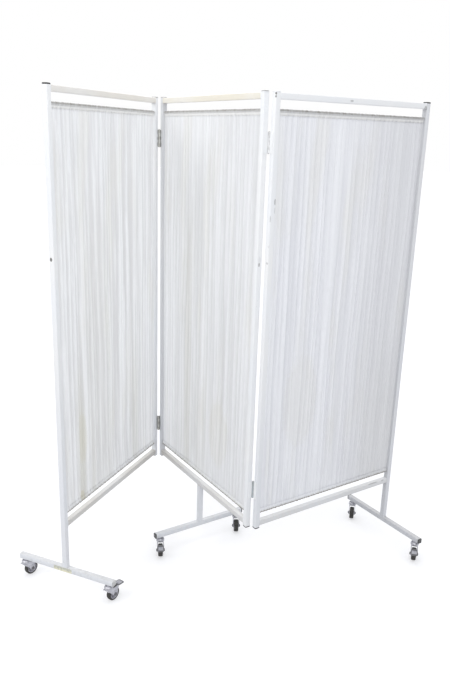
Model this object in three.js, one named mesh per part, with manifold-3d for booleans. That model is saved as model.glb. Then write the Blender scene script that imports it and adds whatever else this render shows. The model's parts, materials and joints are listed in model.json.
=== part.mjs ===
import * as THREE from "three";
import { mergeVertices } from "three/addons/utils/BufferGeometryUtils.js";
import Module from "manifold-3d";

// A folding ward screen of three curtained panels on castored feet.
// Millimetres, +Z up, +X along the middle panel, standing on the floor at Z = 0.
// The origin is on the floor under the middle of the whole screen's box.

const wasm = await Module();
wasm.setup();

// Gap left between two pieces that touch
const seatGap = 0.3;

// Square tube of the frames
const tubeSize = 19;
const tubeWall = 1.2;
const tubeCornerRadius = 2;
const tubeBore = tubeSize - 2 * tubeWall;
const tubeCornerSteps = 2;
const boreCornerSteps = 0;

// Panels and feet
const panelWidth = 683;
const panelHeight = 1482;
const railClearance = 162;
const postOverhang = 6;
const footBarLength = 400;

// How far each wing is folded from the straight line, in degrees
const leftFoldAngle = 124.6;
const rightFoldAngle = 90.6;

// Curtain rods and the holes that hold their ends
const rodDiameter = 8;
const rodSides = 10;
const rodInset = 33;
const rodSeatDepth = 6;

// Curtains
const clothThickness = 1.5;
const clothSideGap = 1.5;
const pleatPitch = 21;
const pleatDepth = 5;
const pleatWanderLength = 97;
const pleatWanderShare = 0.2;
const pleatCrestShare = 0.17;
const pleatDepthShares = [1, 0.72, 0.94, 0.6, 0.86, 0.78, 1, 0.66];
const casingAboveRod = 5;
const casingBelowRod = 9;
const casingCorner = 3;
const sheetLap = 1;

// Plugs in the open tube ends
const plugHead = 5;
const plugDepth = 12;
const plugDrawIn = 0.6;
const plugHeadEdge = 1.6;
const plugCornerSteps = 1;

// Butt hinges
const hingeHeight = 64;
const hingeFromEnd = 147;
const leafThickness = 1.4;
const leafGap = 0.6;
const leafWidth = 15;
const pinDiameter = 3.5;
const knuckleWall = 1.5;
const knuckleCount = 5;
const knuckleGap = 0.4;
const knuckleSides = 12;
const knucklePostGap = 0.4;
const pinHeadHeight = 1.4;
const pinHeadRadius = 2.9;
const pinSides = 10;

// Castor wheels
const wheelDiameter = 50;
const wheelWidth = 18;
const wheelSides = 24;
const hubRadius = 8;
const hubProud = 1.5;
const webThickness = 7;
const rimInnerRadius = 16.5;
const treadShare = 0.45;
const shoulderShare = 0.93;
const runningGap = 0.5;

// Castor forks
const sheetThickness = 2;
const crownAboveWheel = 3.4;
const trail = 20;
const crownRadius = 16;
const raceWall = 4;
const raceHeight = 6.6;
const legNose = 8.5;
const plainReach = 29;
const earReach = 37;
const earDrop = 8;
const earNose = 3.5;
const axleDiameter = 6;
const nutRadius = 5.8;
const nutThickness = 4.2;
const nutSides = 6;
const axleSides = 10;
const noseSteps = 6;

// Swivel mounts
const stemDiameter = 9.6;
const stemRise = 13;
const collarRadius = 9;
const collarHeight = 5;
const capRadius = 16;
const capRise = 4;
const capRim = 1.4;
const capCrownRadius = 12;
const kingpinDiameter = 8;
const kingpinHead = 1.6;
const kingpinHeadRadius = 6.5;
const mountSides = 14;
const castorInset = 25;

// Brake pedals
const pedalPivotBack = 13;
const pedalPivotClear = 1.4;
const pedalHubRadius = 3.4;
const pedalReach = 34;
const pedalNeckLength = 9;
const pedalThickness = 2;
const pedalLip = 5;
const pedalDroop = 3;
const pedalPinDiameter = 3;

// Swivel direction of each castor in its own panel, in degrees
const leftSwivelAngles = { far: -14.6, near: -11.6 };
const middleSwivelAngles = { far: 330, near: 335 };
const rightSwivelAngles = { far: 224.4, near: 221.4 };

// Derived places
const endGap = 2 * (leafThickness + seatGap) + leafGap;
const barrelRadius = pinDiameter / 2 + seatGap + knuckleWall;
const pivotOffset = barrelRadius + knucklePostGap;
const wheelRadius = wheelDiameter / 2;
const axleHeight = wheelRadius * Math.cos(Math.PI / wheelSides);
const crownBottom = axleHeight + wheelRadius + crownAboveWheel;
const crownTop = crownBottom + sheetThickness;
const raceTop = crownTop + raceHeight;
const mountBottom = raceTop + seatGap;
const collarBottom = mountBottom + capRim + capRise;
const footBottom = collarBottom + collarHeight + seatGap;
const footTop = footBottom + tubeSize;
const railBottom = footTop + railClearance;
const frameTop = railBottom + panelHeight;
const postBottom = railBottom - postOverhang;
const lowRailTop = railBottom + tubeSize;
const topRailBottom = frameTop - tubeSize;
const lowRodHeight = lowRailTop + rodInset;
const topRodHeight = topRailBottom - rodInset;
const postPlace = (panelWidth - tubeSize) / 2;
const clearWidth = panelWidth - 2 * tubeSize;
const forkInner = wheelWidth + 2 * (hubProud + runningGap);
const forkOuter = forkInner + 2 * sheetThickness;
const footBarHeight = (footBottom + footTop) / 2;
const lowRailHeight = railBottom + tubeSize / 2;
const topRailHeight = frameTop - tubeSize / 2;
const castorPlace = footBarLength / 2 + plugHead - castorInset;

// Materials
function material(color, roughness, metalness) {
  return new THREE.MeshStandardMaterial({ color, roughness, metalness });
}

function whitePaint() {
  return material(0xe9e9ec, 0.4, 0);
}

function hingeSteel() {
  return material(0x8c8f91, 0.45, 0.9);
}

function zincPlate() {
  return material(0xb9bac2, 0.35, 0.85);
}

function rodSteel() {
  return material(0x77777a, 0.5, 0.6);
}

function greyPlastic() {
  return material(0x4a4b4e, 0.55, 0);
}

function wheelRubber() {
  return material(0x3a3b3d, 0.7, 0);
}

function cloth() {
  return material(0xe4e3e2, 0.9, 0);
}

// Joining and cutting
function solidOf(geometry) {
  const bare = geometry.clone();
  bare.deleteAttribute("normal");
  bare.deleteAttribute("uv");
  const merged = mergeVertices(bare);
  const mesh = new wasm.Mesh({
    numProp: 3,
    vertProperties: new Float32Array(merged.attributes.position.array),
    triVerts: new Uint32Array(merged.index.array),
  });
  mesh.merge();
  return new wasm.Manifold(mesh);
}

function geometryOf(solid) {
  const mesh = solid.getMesh();
  const geometry = new THREE.BufferGeometry();
  geometry.setAttribute("position", new THREE.BufferAttribute(new Float32Array(mesh.vertProperties), 3));
  geometry.setIndex(new THREE.BufferAttribute(new Uint32Array(mesh.triVerts), 1));
  geometry.computeVertexNormals();
  return geometry;
}

function joined(geometries) {
  return geometries.map(solidOf).reduce((whole, next) => whole.add(next));
}

function piece(name, geometry, look) {
  const mesh = new THREE.Mesh(geometry, look);
  mesh.name = name;
  return mesh;
}

// Square outline with rounded, chamfered or sharp corners for 2, 1 or 0 steps
function squarePoints(size, steps) {
  const half = size / 2;
  const radius = steps > 0 ? tubeCornerRadius : 0;
  const points = [];
  [[1, 1], [-1, 1], [-1, -1], [1, -1]].forEach(([sx, sy], turn) => {
    for (let step = 0; step <= steps; step += 1) {
      const angle = (turn + step / Math.max(steps, 1)) * (Math.PI / 2);
      const x = sx * (half - radius) + radius * Math.cos(angle);
      const y = sy * (half - radius) + radius * Math.sin(angle);
      points.push(new THREE.Vector2(x, y));
    }
  });
  return points;
}

function extruded(shape, depth) {
  return new THREE.ExtrudeGeometry(shape, { depth, bevelEnabled: false, steps: 1 });
}

function squareBar(section, length) {
  return extruded(new THREE.Shape(squarePoints(section.size, section.steps)), length);
}

function uprightBar(section, x, low, high) {
  return squareBar(section, high - low).translate(x, 0, low);
}

function barAlongX(section, left, right, height) {
  return squareBar(section, right - left).rotateY(Math.PI / 2).translate(left, 0, height);
}

function barAlongY(section, x, front, back, height) {
  return squareBar(section, back - front).rotateX(-Math.PI / 2).translate(x, front, height);
}

function cylinderAlongX(radius, sides, left, right, height) {
  const rod = new THREE.CylinderGeometry(radius, radius, right - left, sides);
  rod.rotateZ(Math.PI / 2);
  return rod.translate((left + right) / 2, 0, height);
}

function cylinderAlongY(radius, sides, x, front, back, height) {
  const rod = new THREE.CylinderGeometry(radius, radius, back - front, sides);
  return rod.translate(x, (front + back) / 2, height);
}

function uprightCylinder(radius, sides, low, high) {
  const rod = new THREE.CylinderGeometry(radius, radius, high - low, sides);
  rod.rotateX(Math.PI / 2);
  return rod.translate(0, 0, (low + high) / 2);
}

function uprightLathe(profile, sides) {
  const points = profile.map(([radius, height]) => new THREE.Vector2(radius, height));
  return new THREE.LatheGeometry(points, sides).rotateX(Math.PI / 2);
}

// Welded frame with its foot. The foot stands under one post or under the middle.
function frameGeometry(footPlace) {
  const outer = { size: tubeSize, steps: tubeCornerSteps };
  const bore = { size: tubeBore, steps: boreCornerSteps };
  const footHalf = footBarLength / 2;
  const outsides = [barAlongY(outer, footPlace, -footHalf, footHalf, footBarHeight)];
  const insides = [barAlongY(bore, footPlace, -tubeSize - footHalf, footHalf + tubeSize, footBarHeight)];
  for (const x of [-postPlace, postPlace]) {
    const stands = x === footPlace;
    outsides.push(uprightBar(outer, x, stands ? footBarHeight : postBottom, frameTop));
    insides.push(uprightBar(bore, x, stands ? footBarHeight : postBottom - tubeSize, frameTop + tubeSize));
  }
  for (const height of [lowRailHeight, topRailHeight]) {
    outsides.push(barAlongX(outer, -postPlace, postPlace, height));
    insides.push(barAlongX(bore, -postPlace, postPlace, height));
  }
  if (footPlace === 0) {
    outsides.push(uprightBar(outer, footPlace, footBarHeight, lowRailHeight));
    insides.push(uprightBar(bore, footPlace, footBarHeight, lowRailHeight));
  }
  for (const height of [lowRodHeight, topRodHeight]) {
    insides.push(cylinderAlongX(rodDiameter / 2 + seatGap, rodSides, -postPlace, postPlace, height));
  }
  for (const end of [-1, 1]) {
    const hole = uprightCylinder(stemDiameter / 2 + seatGap, rodSides, footBottom - tubeWall, footBarHeight);
    insides.push(hole.translate(footPlace, end * castorPlace, 0));
  }
  return geometryOf(joined(outsides).subtract(joined(insides)));
}

// Tube plug: a domed head over a tapered body. Its seat is at Z = 0 and the head points up.
function plugGeometry() {
  const body = tubeBore - 2 * seatGap;
  const levels = [
    [body - 2 * plugDrawIn, -plugDepth],
    [body, seatGap],
    [tubeSize, seatGap],
    [tubeSize, plugHead - plugHeadEdge],
    [tubeSize - 2 * plugHeadEdge, plugHead],
  ];
  return lofted(levels.map(([size, height]) => (
    squarePoints(size, plugCornerSteps).map((point) => new THREE.Vector3(point.x, point.y, height))
  )));
}

// Closed body through rings of equal point counts, lowest ring first
function lofted(rings) {
  const count = rings[0].length;
  const positions = rings.flat().flatMap((point) => [point.x, point.y, point.z]);
  const triangles = [];
  for (let level = 0; level + 1 < rings.length; level += 1) {
    for (let at = 0; at < count; at += 1) {
      const next = (at + 1) % count;
      const low = level * count;
      const high = low + count;
      triangles.push(low + at, low + next, high + next, low + at, high + next, high + at);
    }
  }
  const top = (rings.length - 1) * count;
  for (let at = 1; at + 1 < count; at += 1) {
    triangles.push(0, at + 1, at, top, top + at, top + at + 1);
  }
  const geometry = new THREE.BufferGeometry();
  geometry.setAttribute("position", new THREE.Float32BufferAttribute(positions, 3));
  geometry.setIndex(triangles);
  geometry.computeVertexNormals();
  return geometry;
}

function plugUp(x, height) {
  return plugGeometry().translate(x, 0, height);
}

function plugDown(x, height) {
  return plugGeometry().rotateX(Math.PI).translate(x, 0, height);
}

function plugAcross(x, end) {
  const plug = plugGeometry().rotateX((-end * Math.PI) / 2);
  return plug.translate(x, (end * footBarLength) / 2, footBarHeight);
}

// Curtain rod, its ends through the inner walls of the posts
function rodGeometry(height) {
  const half = clearWidth / 2 + rodSeatDepth;
  return cylinderAlongX(rodDiameter / 2, rodSides, -half, half, height);
}

// Crests and troughs of the gathered cloth, from one side to the other, each with a flat
function pleatLine(seed) {
  const length = clearWidth - 2 * clothSideGap;
  const count = Math.round(length / pleatPitch);
  const points = [new THREE.Vector2(-length / 2, 0)];
  for (let pleat = 0; pleat < count; pleat += 1) {
    const depth = pleatDepth * pleatDepthShares[(pleat + seed) % pleatDepthShares.length];
    for (const [phase, off] of [[1 / 4, depth], [1 - 1 / 4, -depth]]) {
      for (const edge of [-pleatCrestShare / 2, pleatCrestShare / 2]) {
        const along = ((pleat + phase + edge) / count) * length;
        const sway = Math.sin((2 * Math.PI * along) / pleatWanderLength + seed);
        const fade = Math.sin((Math.PI * along) / length);
        const wander = pleatWanderShare * pleatPitch * sway * fade;
        points.push(new THREE.Vector2(along - length / 2 + wander, off));
      }
    }
  }
  points.push(new THREE.Vector2(length / 2, 0));
  return points;
}

function pleatedOutline(seed) {
  const line = pleatLine(seed);
  const front = line.map((point) => new THREE.Vector2(point.x, point.y - clothThickness / 2));
  const back = line.map((point) => new THREE.Vector2(point.x, point.y + clothThickness / 2));
  return new THREE.Shape([...front, ...back.reverse()]);
}

// Casing from its sheet side to its free edge, with the corners of the free edge cut off
function casingGeometry(sheetSide, freeEdge) {
  const half = pleatDepth + clothThickness;
  const length = clearWidth - 2 * clothSideGap;
  const cut = Math.sign(freeEdge - sheetSide) * casingCorner;
  const shape = new THREE.Shape();
  shape.moveTo(-sheetSide, -half);
  shape.lineTo(cut - freeEdge, -half);
  shape.lineTo(-freeEdge, casingCorner - half);
  shape.lineTo(-freeEdge, half - casingCorner);
  shape.lineTo(cut - freeEdge, half);
  shape.lineTo(-sheetSide, half);
  return extruded(shape, length).rotateY(Math.PI / 2).translate(-length / 2, 0, 0);
}

// Pleated cloth between two casings that the rods run through
function curtainGeometry(seed) {
  const topSheetSide = topRodHeight - casingBelowRod;
  const lowSheetSide = lowRodHeight + casingBelowRod;
  const sheetLow = lowSheetSide - sheetLap;
  const sheetHigh = topSheetSide + sheetLap;
  const outside = joined([
    extruded(pleatedOutline(seed), sheetHigh - sheetLow).translate(0, 0, sheetLow),
    casingGeometry(lowSheetSide, lowRodHeight - casingAboveRod),
    casingGeometry(topSheetSide, topRodHeight + casingAboveRod),
  ]);
  const bores = [lowRodHeight, topRodHeight].map((height) => (
    cylinderAlongX(rodDiameter / 2 + seatGap, rodSides, -postPlace, postPlace, height)
  ));
  return geometryOf(outside.subtract(joined(bores)));
}

// One hinge leaf about its pin, on the +X side or the -X side of it. Its post is at +Y.
function leafGeometry(knuckles, side) {
  const pitch = hingeHeight / knuckleCount;
  const plateNear = leafGap / 2;
  const plateStart = barrelRadius + knuckleGap;
  const plateEnd = pivotOffset + leafWidth;
  const boxOf = (near, far, low, high) => {
    const box = new THREE.BoxGeometry(leafThickness, far - near, high - low);
    return box.translate(side * (plateNear + leafThickness / 2), (near + far) / 2, (low + high) / 2);
  };
  const parts = [boxOf(plateStart, plateEnd, 0, hingeHeight)];
  for (const index of knuckles) {
    const low = index === 0 ? 0 : index * pitch + knuckleGap / 2;
    const high = index === knuckleCount - 1 ? hingeHeight : (index + 1) * pitch - knuckleGap / 2;
    parts.push(boxOf(0, plateStart + leafThickness, low, high));
    parts.push(uprightCylinder(barrelRadius, knuckleSides, low, high));
  }
  const boreRadius = pinDiameter / 2 + seatGap;
  const bore = uprightCylinder(boreRadius, knuckleSides, -knuckleWall, hingeHeight + knuckleWall);
  return geometryOf(joined(parts).subtract(solidOf(bore)));
}

function longLeaf() {
  return leafGeometry([0, 2, 4], 1);
}

function shortLeaf() {
  return leafGeometry([1, 3], -1);
}

function pinGeometry() {
  const low = -seatGap - pinHeadHeight;
  const high = hingeHeight + seatGap + pinHeadHeight;
  const shank = pinDiameter / 2;
  const profile = [
    [0, low],
    [pinHeadRadius, low + pinHeadHeight / 3],
    [pinHeadRadius, -seatGap],
    [shank, -seatGap],
    [shank, hingeHeight + seatGap],
    [pinHeadRadius, hingeHeight + seatGap],
    [pinHeadRadius, high - pinHeadHeight / 3],
    [0, high],
  ];
  return uprightLathe(profile, pinSides);
}

// Castor wheel about its axle, which lies along Y
function wheelGeometry() {
  const half = wheelWidth / 2;
  const bore = axleDiameter / 2 + seatGap;
  const hub = half + hubProud;
  const web = webThickness / 2;
  const tread = half * treadShare;
  const sideways = [
    [bore, -hub],
    [hubRadius, -hub],
    [hubRadius, -web],
    [rimInnerRadius, -half],
    [wheelRadius * shoulderShare, -half],
    [wheelRadius, -tread],
  ];
  const mirrored = sideways.map(([radius, height]) => [radius, -height]).reverse();
  const profile = [...sideways, ...mirrored, sideways[0]];
  const points = profile.map(([radius, height]) => new THREE.Vector2(radius, height));
  const wheel = new THREE.LatheGeometry(points, wheelSides);
  return wheel.rotateY(Math.PI / wheelSides);
}

// Side of the fork in the plane of the wheel: crown, rear ear and nose at the axle
function legOutline(reach) {
  const ear = crownTop - earDrop;
  const shape = new THREE.Shape();
  shape.moveTo(-crownRadius + sheetThickness, crownTop);
  shape.lineTo(-crownRadius, crownBottom);
  shape.lineTo(-crownRadius + sheetThickness, crownBottom - sheetThickness);
  shape.lineTo(trail - legNose, axleHeight);
  shape.absarc(trail, axleHeight, legNose, Math.PI, 2 * Math.PI, false);
  shape.lineTo(reach - earNose, ear - earNose);
  shape.lineTo(reach, ear);
  shape.lineTo(reach, crownTop - earNose);
  shape.lineTo(reach - earNose, crownTop);
  return shape;
}

function legGeometry(side, reach) {
  const leg = new THREE.ExtrudeGeometry(legOutline(reach), {
    depth: sheetThickness, bevelEnabled: false, steps: 1, curveSegments: noseSteps,
  });
  leg.rotateX(Math.PI / 2);
  const inner = forkInner / 2;
  return leg.translate(0, side > 0 ? inner + sheetThickness : -inner, 0);
}

function crownGeometry() {
  const length = crownRadius + trail - legNose;
  const half = forkOuter / 2;
  const bridge = new THREE.BoxGeometry(length, 2 * half, sheetThickness);
  return bridge.translate(length / 2 - crownRadius + sheetThickness, 0, crownBottom + sheetThickness / 2);
}

// A braked fork has longer ears, with the pedal's rivet across them
function forkGeometry(braked) {
  const reach = braked ? earReach : plainReach;
  const inner = forkInner / 2;
  const outer = forkOuter / 2;
  const nutEnd = outer + nutThickness;
  const race = uprightCylinder(crownRadius, mountSides, crownBottom, raceTop);
  const parts = [
    legGeometry(-1, reach),
    legGeometry(1, reach),
    crownGeometry(),
    race,
    cylinderAlongY(axleDiameter / 2, axleSides, trail, -outer, outer, axleHeight),
    cylinderAlongY(nutRadius, nutSides, trail, inner + sheetThickness / 2, nutEnd, axleHeight),
    cylinderAlongY(nutRadius, axleSides, trail, -nutEnd, -inner - sheetThickness / 2, axleHeight),
  ];
  if (braked) {
    const pivot = pedalPivot();
    parts.push(cylinderAlongY(pedalPinDiameter / 2, axleSides, pivot.back, -outer, outer, pivot.height));
  }
  const cuts = [
    uprightCylinder(crownRadius - raceWall, mountSides, crownTop, raceTop + raceHeight),
    uprightCylinder(kingpinDiameter / 2 + seatGap, mountSides, axleHeight, raceTop),
  ];
  return geometryOf(joined(parts).subtract(joined(cuts)));
}

// Fixed half of the swivel: threaded stem, collar, bearing cap and kingpin in one turned piece
function mountGeometry() {
  const pinRadius = kingpinDiameter / 2;
  const headTop = crownBottom - seatGap;
  const profile = [
    [0, headTop - kingpinHead],
    [kingpinHeadRadius, headTop - kingpinHead],
    [kingpinHeadRadius, headTop],
    [pinRadius, headTop],
    [pinRadius, mountBottom],
    [capRadius, mountBottom],
    [capRadius, mountBottom + capRim],
    [capCrownRadius, collarBottom],
    [stemDiameter / 2, collarBottom],
    [stemDiameter / 2, footBottom + stemRise],
    [0, footBottom + stemRise],
  ];
  const turned = uprightLathe(profile, mountSides);
  const collar = uprightCylinder(collarRadius, nutSides, collarBottom - capRise / 2, footBottom - seatGap);
  return geometryOf(joined([turned, collar]));
}

// Brake pedal with its hub on the fork's rear ears
function pedalPivot() {
  const back = trail + pedalPivotBack;
  const reach = wheelRadius + pedalPivotClear + pedalHubRadius;
  const rise = Math.sqrt(Math.max(reach * reach - pedalPivotBack * pedalPivotBack, 0));
  return { back, height: axleHeight + rise };
}

function pedalGeometry() {
  const pivot = pedalPivot();
  const neckHalf = forkInner / 2 - runningGap;
  const half = forkOuter / 2;
  const plateStart = earReach + runningGap;
  const plateEnd = pivot.back + pedalReach;
  const top = pivot.height + pedalThickness / 2;
  const slab = (from, to, fromTop, toTop, depth, width) => {
    const shape = new THREE.Shape();
    shape.moveTo(from, fromTop - depth);
    shape.lineTo(to, toTop - depth);
    shape.lineTo(to, toTop);
    shape.lineTo(from, fromTop);
    return extruded(shape, 2 * width).rotateX(Math.PI / 2).translate(0, width, 0);
  };
  const lip = slab(plateEnd - pedalThickness, plateEnd, top - pedalDroop, top - pedalDroop, pedalLip, half);
  const parts = [
    cylinderAlongY(pedalHubRadius, axleSides, pivot.back, -neckHalf, neckHalf, pivot.height),
    slab(pivot.back, pivot.back + pedalNeckLength, top, top, pedalThickness, neckHalf),
    slab(plateStart, plateEnd, top, top - pedalDroop, pedalThickness, half),
    lip,
  ];
  const boreRadius = pedalPinDiameter / 2 + seatGap;
  const bore = cylinderAlongY(boreRadius, axleSides, pivot.back, -half, half, pivot.height);
  return geometryOf(joined(parts).subtract(solidOf(bore)));
}

// One swivel castor at a place along the foot bar
function castor(name, x, y, swivel, braked) {
  const group = new THREE.Group();
  const turning = new THREE.Group();
  turning.rotation.z = THREE.MathUtils.degToRad(swivel);
  turning.add(piece(`${name}_castor_fork`, forkGeometry(braked), zincPlate()));
  const wheel = piece(`${name}_castor_wheel`, wheelGeometry(), wheelRubber());
  wheel.position.set(trail, 0, axleHeight);
  turning.add(wheel);
  if (braked) {
    turning.add(piece(`${name}_brake_pedal`, pedalGeometry(), zincPlate()));
  }
  group.add(piece(`${name}_castor_mount`, mountGeometry(), zincPlate()), turning);
  group.position.set(x, y, 0);
  return group;
}

// One panel about its own centre: frame, rods, curtain, plugs, foot and castors
function panel(name, footPlace, swivels, seed, openEnds) {
  const group = new THREE.Group();
  group.add(piece(`${name}_frame`, frameGeometry(footPlace), whitePaint()));
  group.add(piece(`${name}_top_rod`, rodGeometry(topRodHeight), rodSteel()));
  group.add(piece(`${name}_bottom_rod`, rodGeometry(lowRodHeight), rodSteel()));
  group.add(piece(`${name}_curtain`, curtainGeometry(seed), cloth()));
  for (const [side, x] of [["left", -postPlace], ["right", postPlace]]) {
    group.add(piece(`${name}_${side}_post_cap`, plugUp(x, frameTop), greyPlastic()));
    if (x !== footPlace) {
      group.add(piece(`${name}_${side}_post_plug`, plugDown(x, postBottom), greyPlastic()));
    }
  }
  for (const [side, end] of [["near", -1], ["far", 1]]) {
    if (!openEnds.includes(side)) {
      group.add(piece(`${name}_foot_${side}_plug`, plugAcross(footPlace, end), greyPlastic()));
    }
    group.add(castor(`${name}_${side}`, footPlace, end * castorPlace, swivels[side], side === "near"));
  }
  return group;
}

// Both hinges of one fold: long leaves and pins stay with the middle panel, short leaves turn
function addHinges(name, fixed, moving) {
  for (const [place, low] of [
    ["bottom", postBottom + hingeFromEnd - hingeHeight / 2],
    ["top", frameTop - hingeFromEnd - hingeHeight / 2],
  ]) {
    const long = piece(`${name}_${place}_hinge_long_leaf`, longLeaf(), hingeSteel());
    const pin = piece(`${name}_${place}_hinge_pin`, pinGeometry(), hingeSteel());
    const short = piece(`${name}_${place}_hinge_short_leaf`, shortLeaf(), hingeSteel());
    [long, pin, short].forEach((mesh) => {
      mesh.position.z = low;
    });
    fixed.add(long, pin);
    moving.add(short);
  }
}

// Wing turned about its hinge pins. side is -1 for the left wing and 1 for the right.
function addWing(screen, name, side, fold, swivels, seed, openEnds) {
  const pivot = new THREE.Vector3(side * (panelWidth + endGap) / 2, side * (tubeSize / 2 + pivotOffset), 0);
  const wing = new THREE.Group();
  wing.position.copy(pivot);
  wing.rotation.z = THREE.MathUtils.degToRad(fold);
  const body = panel(name, side * postPlace, swivels, seed, openEnds);
  body.position.set(side * (panelWidth + endGap) / 2, -pivot.y, 0);
  const fixedHinges = new THREE.Group();
  const movingHinges = new THREE.Group();
  addHinges(name, fixedHinges, movingHinges);
  fixedHinges.position.copy(pivot);
  const turn = side < 0 ? 0 : Math.PI;
  fixedHinges.rotation.z = turn;
  movingHinges.rotation.z = turn;
  wing.add(body, movingHinges);
  screen.add(wing, fixedHinges);
}

function build() {
  const screen = new THREE.Group();
  screen.add(panel("middle", 0, middleSwivelAngles, 1, []));
  addWing(screen, "left", -1, leftFoldAngle, leftSwivelAngles, 2, ["far"]);
  addWing(screen, "right", 1, rightFoldAngle, rightSwivelAngles, 3, []);
  screen.updateMatrixWorld(true);
  const middle = new THREE.Box3().setFromObject(screen, true).getCenter(new THREE.Vector3());
  screen.position.set(-middle.x, -middle.y, 0);
  screen.updateMatrixWorld(true);
  return screen;
}

export default build();
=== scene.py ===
"""Ward privacy screen on wheels: surfaces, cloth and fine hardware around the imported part."""

import json
import math

import bmesh
import bpy
import numpy as np
from mathutils import Matrix, Vector
from mathutils.geometry import tessellate_polygon

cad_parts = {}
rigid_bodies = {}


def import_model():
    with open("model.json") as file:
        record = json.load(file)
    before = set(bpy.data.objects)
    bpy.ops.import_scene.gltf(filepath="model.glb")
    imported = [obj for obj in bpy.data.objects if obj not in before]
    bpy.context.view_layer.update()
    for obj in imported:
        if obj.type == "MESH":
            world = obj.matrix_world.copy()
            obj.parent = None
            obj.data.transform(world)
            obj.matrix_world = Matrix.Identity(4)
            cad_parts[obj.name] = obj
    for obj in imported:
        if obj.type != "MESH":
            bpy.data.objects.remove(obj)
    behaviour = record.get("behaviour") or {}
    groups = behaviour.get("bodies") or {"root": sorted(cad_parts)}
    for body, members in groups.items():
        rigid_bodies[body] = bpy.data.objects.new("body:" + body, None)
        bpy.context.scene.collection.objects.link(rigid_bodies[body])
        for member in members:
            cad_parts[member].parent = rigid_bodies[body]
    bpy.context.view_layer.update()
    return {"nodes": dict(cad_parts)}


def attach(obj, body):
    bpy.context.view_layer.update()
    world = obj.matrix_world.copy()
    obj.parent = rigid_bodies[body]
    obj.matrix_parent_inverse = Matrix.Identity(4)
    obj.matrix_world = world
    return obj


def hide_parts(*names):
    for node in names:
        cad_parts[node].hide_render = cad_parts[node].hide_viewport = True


for leftover in list(bpy.data.objects):
    bpy.data.objects.remove(leftover)

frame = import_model()
nodes = frame["nodes"]
MM = 0.001

# Where each panel stands: centre on the floor in metres, turn in degrees, body
PANELS = {
    "left": ((-0.27148, -0.31019), 124.6, "left_wing"),
    "middle": ((-0.111959, -0.006359), 0.0, "middle_panel"),
    "right": ((0.24139, 0.35071), 90.6, "right_wing"),
}

# Sizes in millimetres, from the part's source
TUBE = 19.0
POST_PLACE = 332.0
CLEAR_HALF = 322.5
FOOT_BOTTOM = 72.786
FOOT_TOP = 91.786
FOOT_MIDDLE = (FOOT_BOTTOM + FOOT_TOP) / 2
FOOT_HALF = 200.0
POST_BOTTOM = 247.786
RAIL_BOTTOM = 253.786
FRAME_TOP = 1735.786
LOW_ROD = 305.786
TOP_ROD = 1683.786
ROD_RADIUS = 4.0
ROD_EDGE = 0.6
ROD_HALF = 328.5
SEAT_GAP = 0.3
CURTAIN_HALF = 321.0

# Where each panel's foot bar stands along the panel
FEET = {"left": -POST_PLACE, "middle": 0, "right": POST_PLACE}


def stand(place, turn):
    """A place in metres, with a turn in degrees about the upright axis"""
    return Matrix.Translation(place) @ Matrix.Rotation(math.radians(turn), 4, "Z")


def shift(x, y, z):
    """A move in millimetres"""
    return Matrix.Translation((x * MM, y * MM, z * MM))


def panel_matrix(panel):
    (x, y), turn, _ = PANELS[panel]
    return stand((x, y, 0), turn)


# Materials


def srgb(red, green, blue):
    """A colour of 0 to 255 as linear light"""
    def lin(value):
        value /= 255
        return value / 12.92 if value <= 0.04045 else ((value + 0.055) / 1.055) ** 2.4
    return (lin(red), lin(green), lin(blue))


class Value:
    """An output among shader nodes, with plain arithmetic"""

    def __init__(self, network, socket):
        self.network = network
        self.socket = socket

    def __add__(self, other):
        return self.network.math("ADD", self, other)

    def __sub__(self, other):
        return self.network.math("SUBTRACT", self, other)

    def __mul__(self, other):
        return self.network.math("MULTIPLY", self, other)

    def __abs__(self):
        return self.network.math("ABSOLUTE", self)

    def span(self, low, high, start=0.0, end=1.0):
        """Goes smoothly from start to end as the value goes from low to high"""
        inputs = {"Value": self, "From Min": low, "From Max": high, "To Min": start, "To Max": end}
        return self.network.node("ShaderNodeMapRange", inputs, "Result", interpolation_type="SMOOTHSTEP")

    def fade(self, low, high):
        """Goes smoothly from 1 to 0 as the value goes from low to high"""
        return self.span(low, high, 1.0, 0.0)

    def toward(self, colour, share):
        """This colour with a share of another laid over it"""
        return self.network.mix(share, self, colour)


class Network:
    """Shader nodes, put together one by one"""

    def __init__(self, tree):
        self.tree = tree

    def node(self, kind, inputs, output=0, **fields):
        """One output of a new node with its inputs and fields set"""
        made = self.tree.nodes.new(kind)
        for field, value in fields.items():
            setattr(made, field, value)
        for key, value in inputs.items():
            self.feed(made.inputs[key], value)
        return Value(self, made.outputs[output])

    def feed(self, socket, value):
        if isinstance(value, Value):
            self.tree.links.new(value.socket, socket)
        elif socket.type == "RGBA":
            socket.default_value = (*value, 1.0)
        else:
            socket.default_value = value

    def math(self, operation, first, second=0.0):
        return self.node("ShaderNodeMath", {0: first, 1: second}, operation=operation)

    def vector(self, operation, first, second=(0, 0, 0), output=0):
        return self.node("ShaderNodeVectorMath", {0: first, 1: second}, output, operation=operation)

    def mix(self, share, first, second):
        return self.node("ShaderNodeMix", {0: share, 6: first, 7: second}, 2, data_type="RGBA")

    def highest(self, *values):
        found = values[0]
        for value in values[1:]:
            found = self.math("MAXIMUM", found, value)
        return found

    def seen(self):
        """1 where a surface is seen, straight or in gloss or glass, 0 where it lights the object"""
        kinds = ("Camera", "Glossy", "Transmission")
        return self.highest(*(self.node("ShaderNodeLightPath", {}, f"Is {kind} Ray") for kind in kinds))


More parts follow.
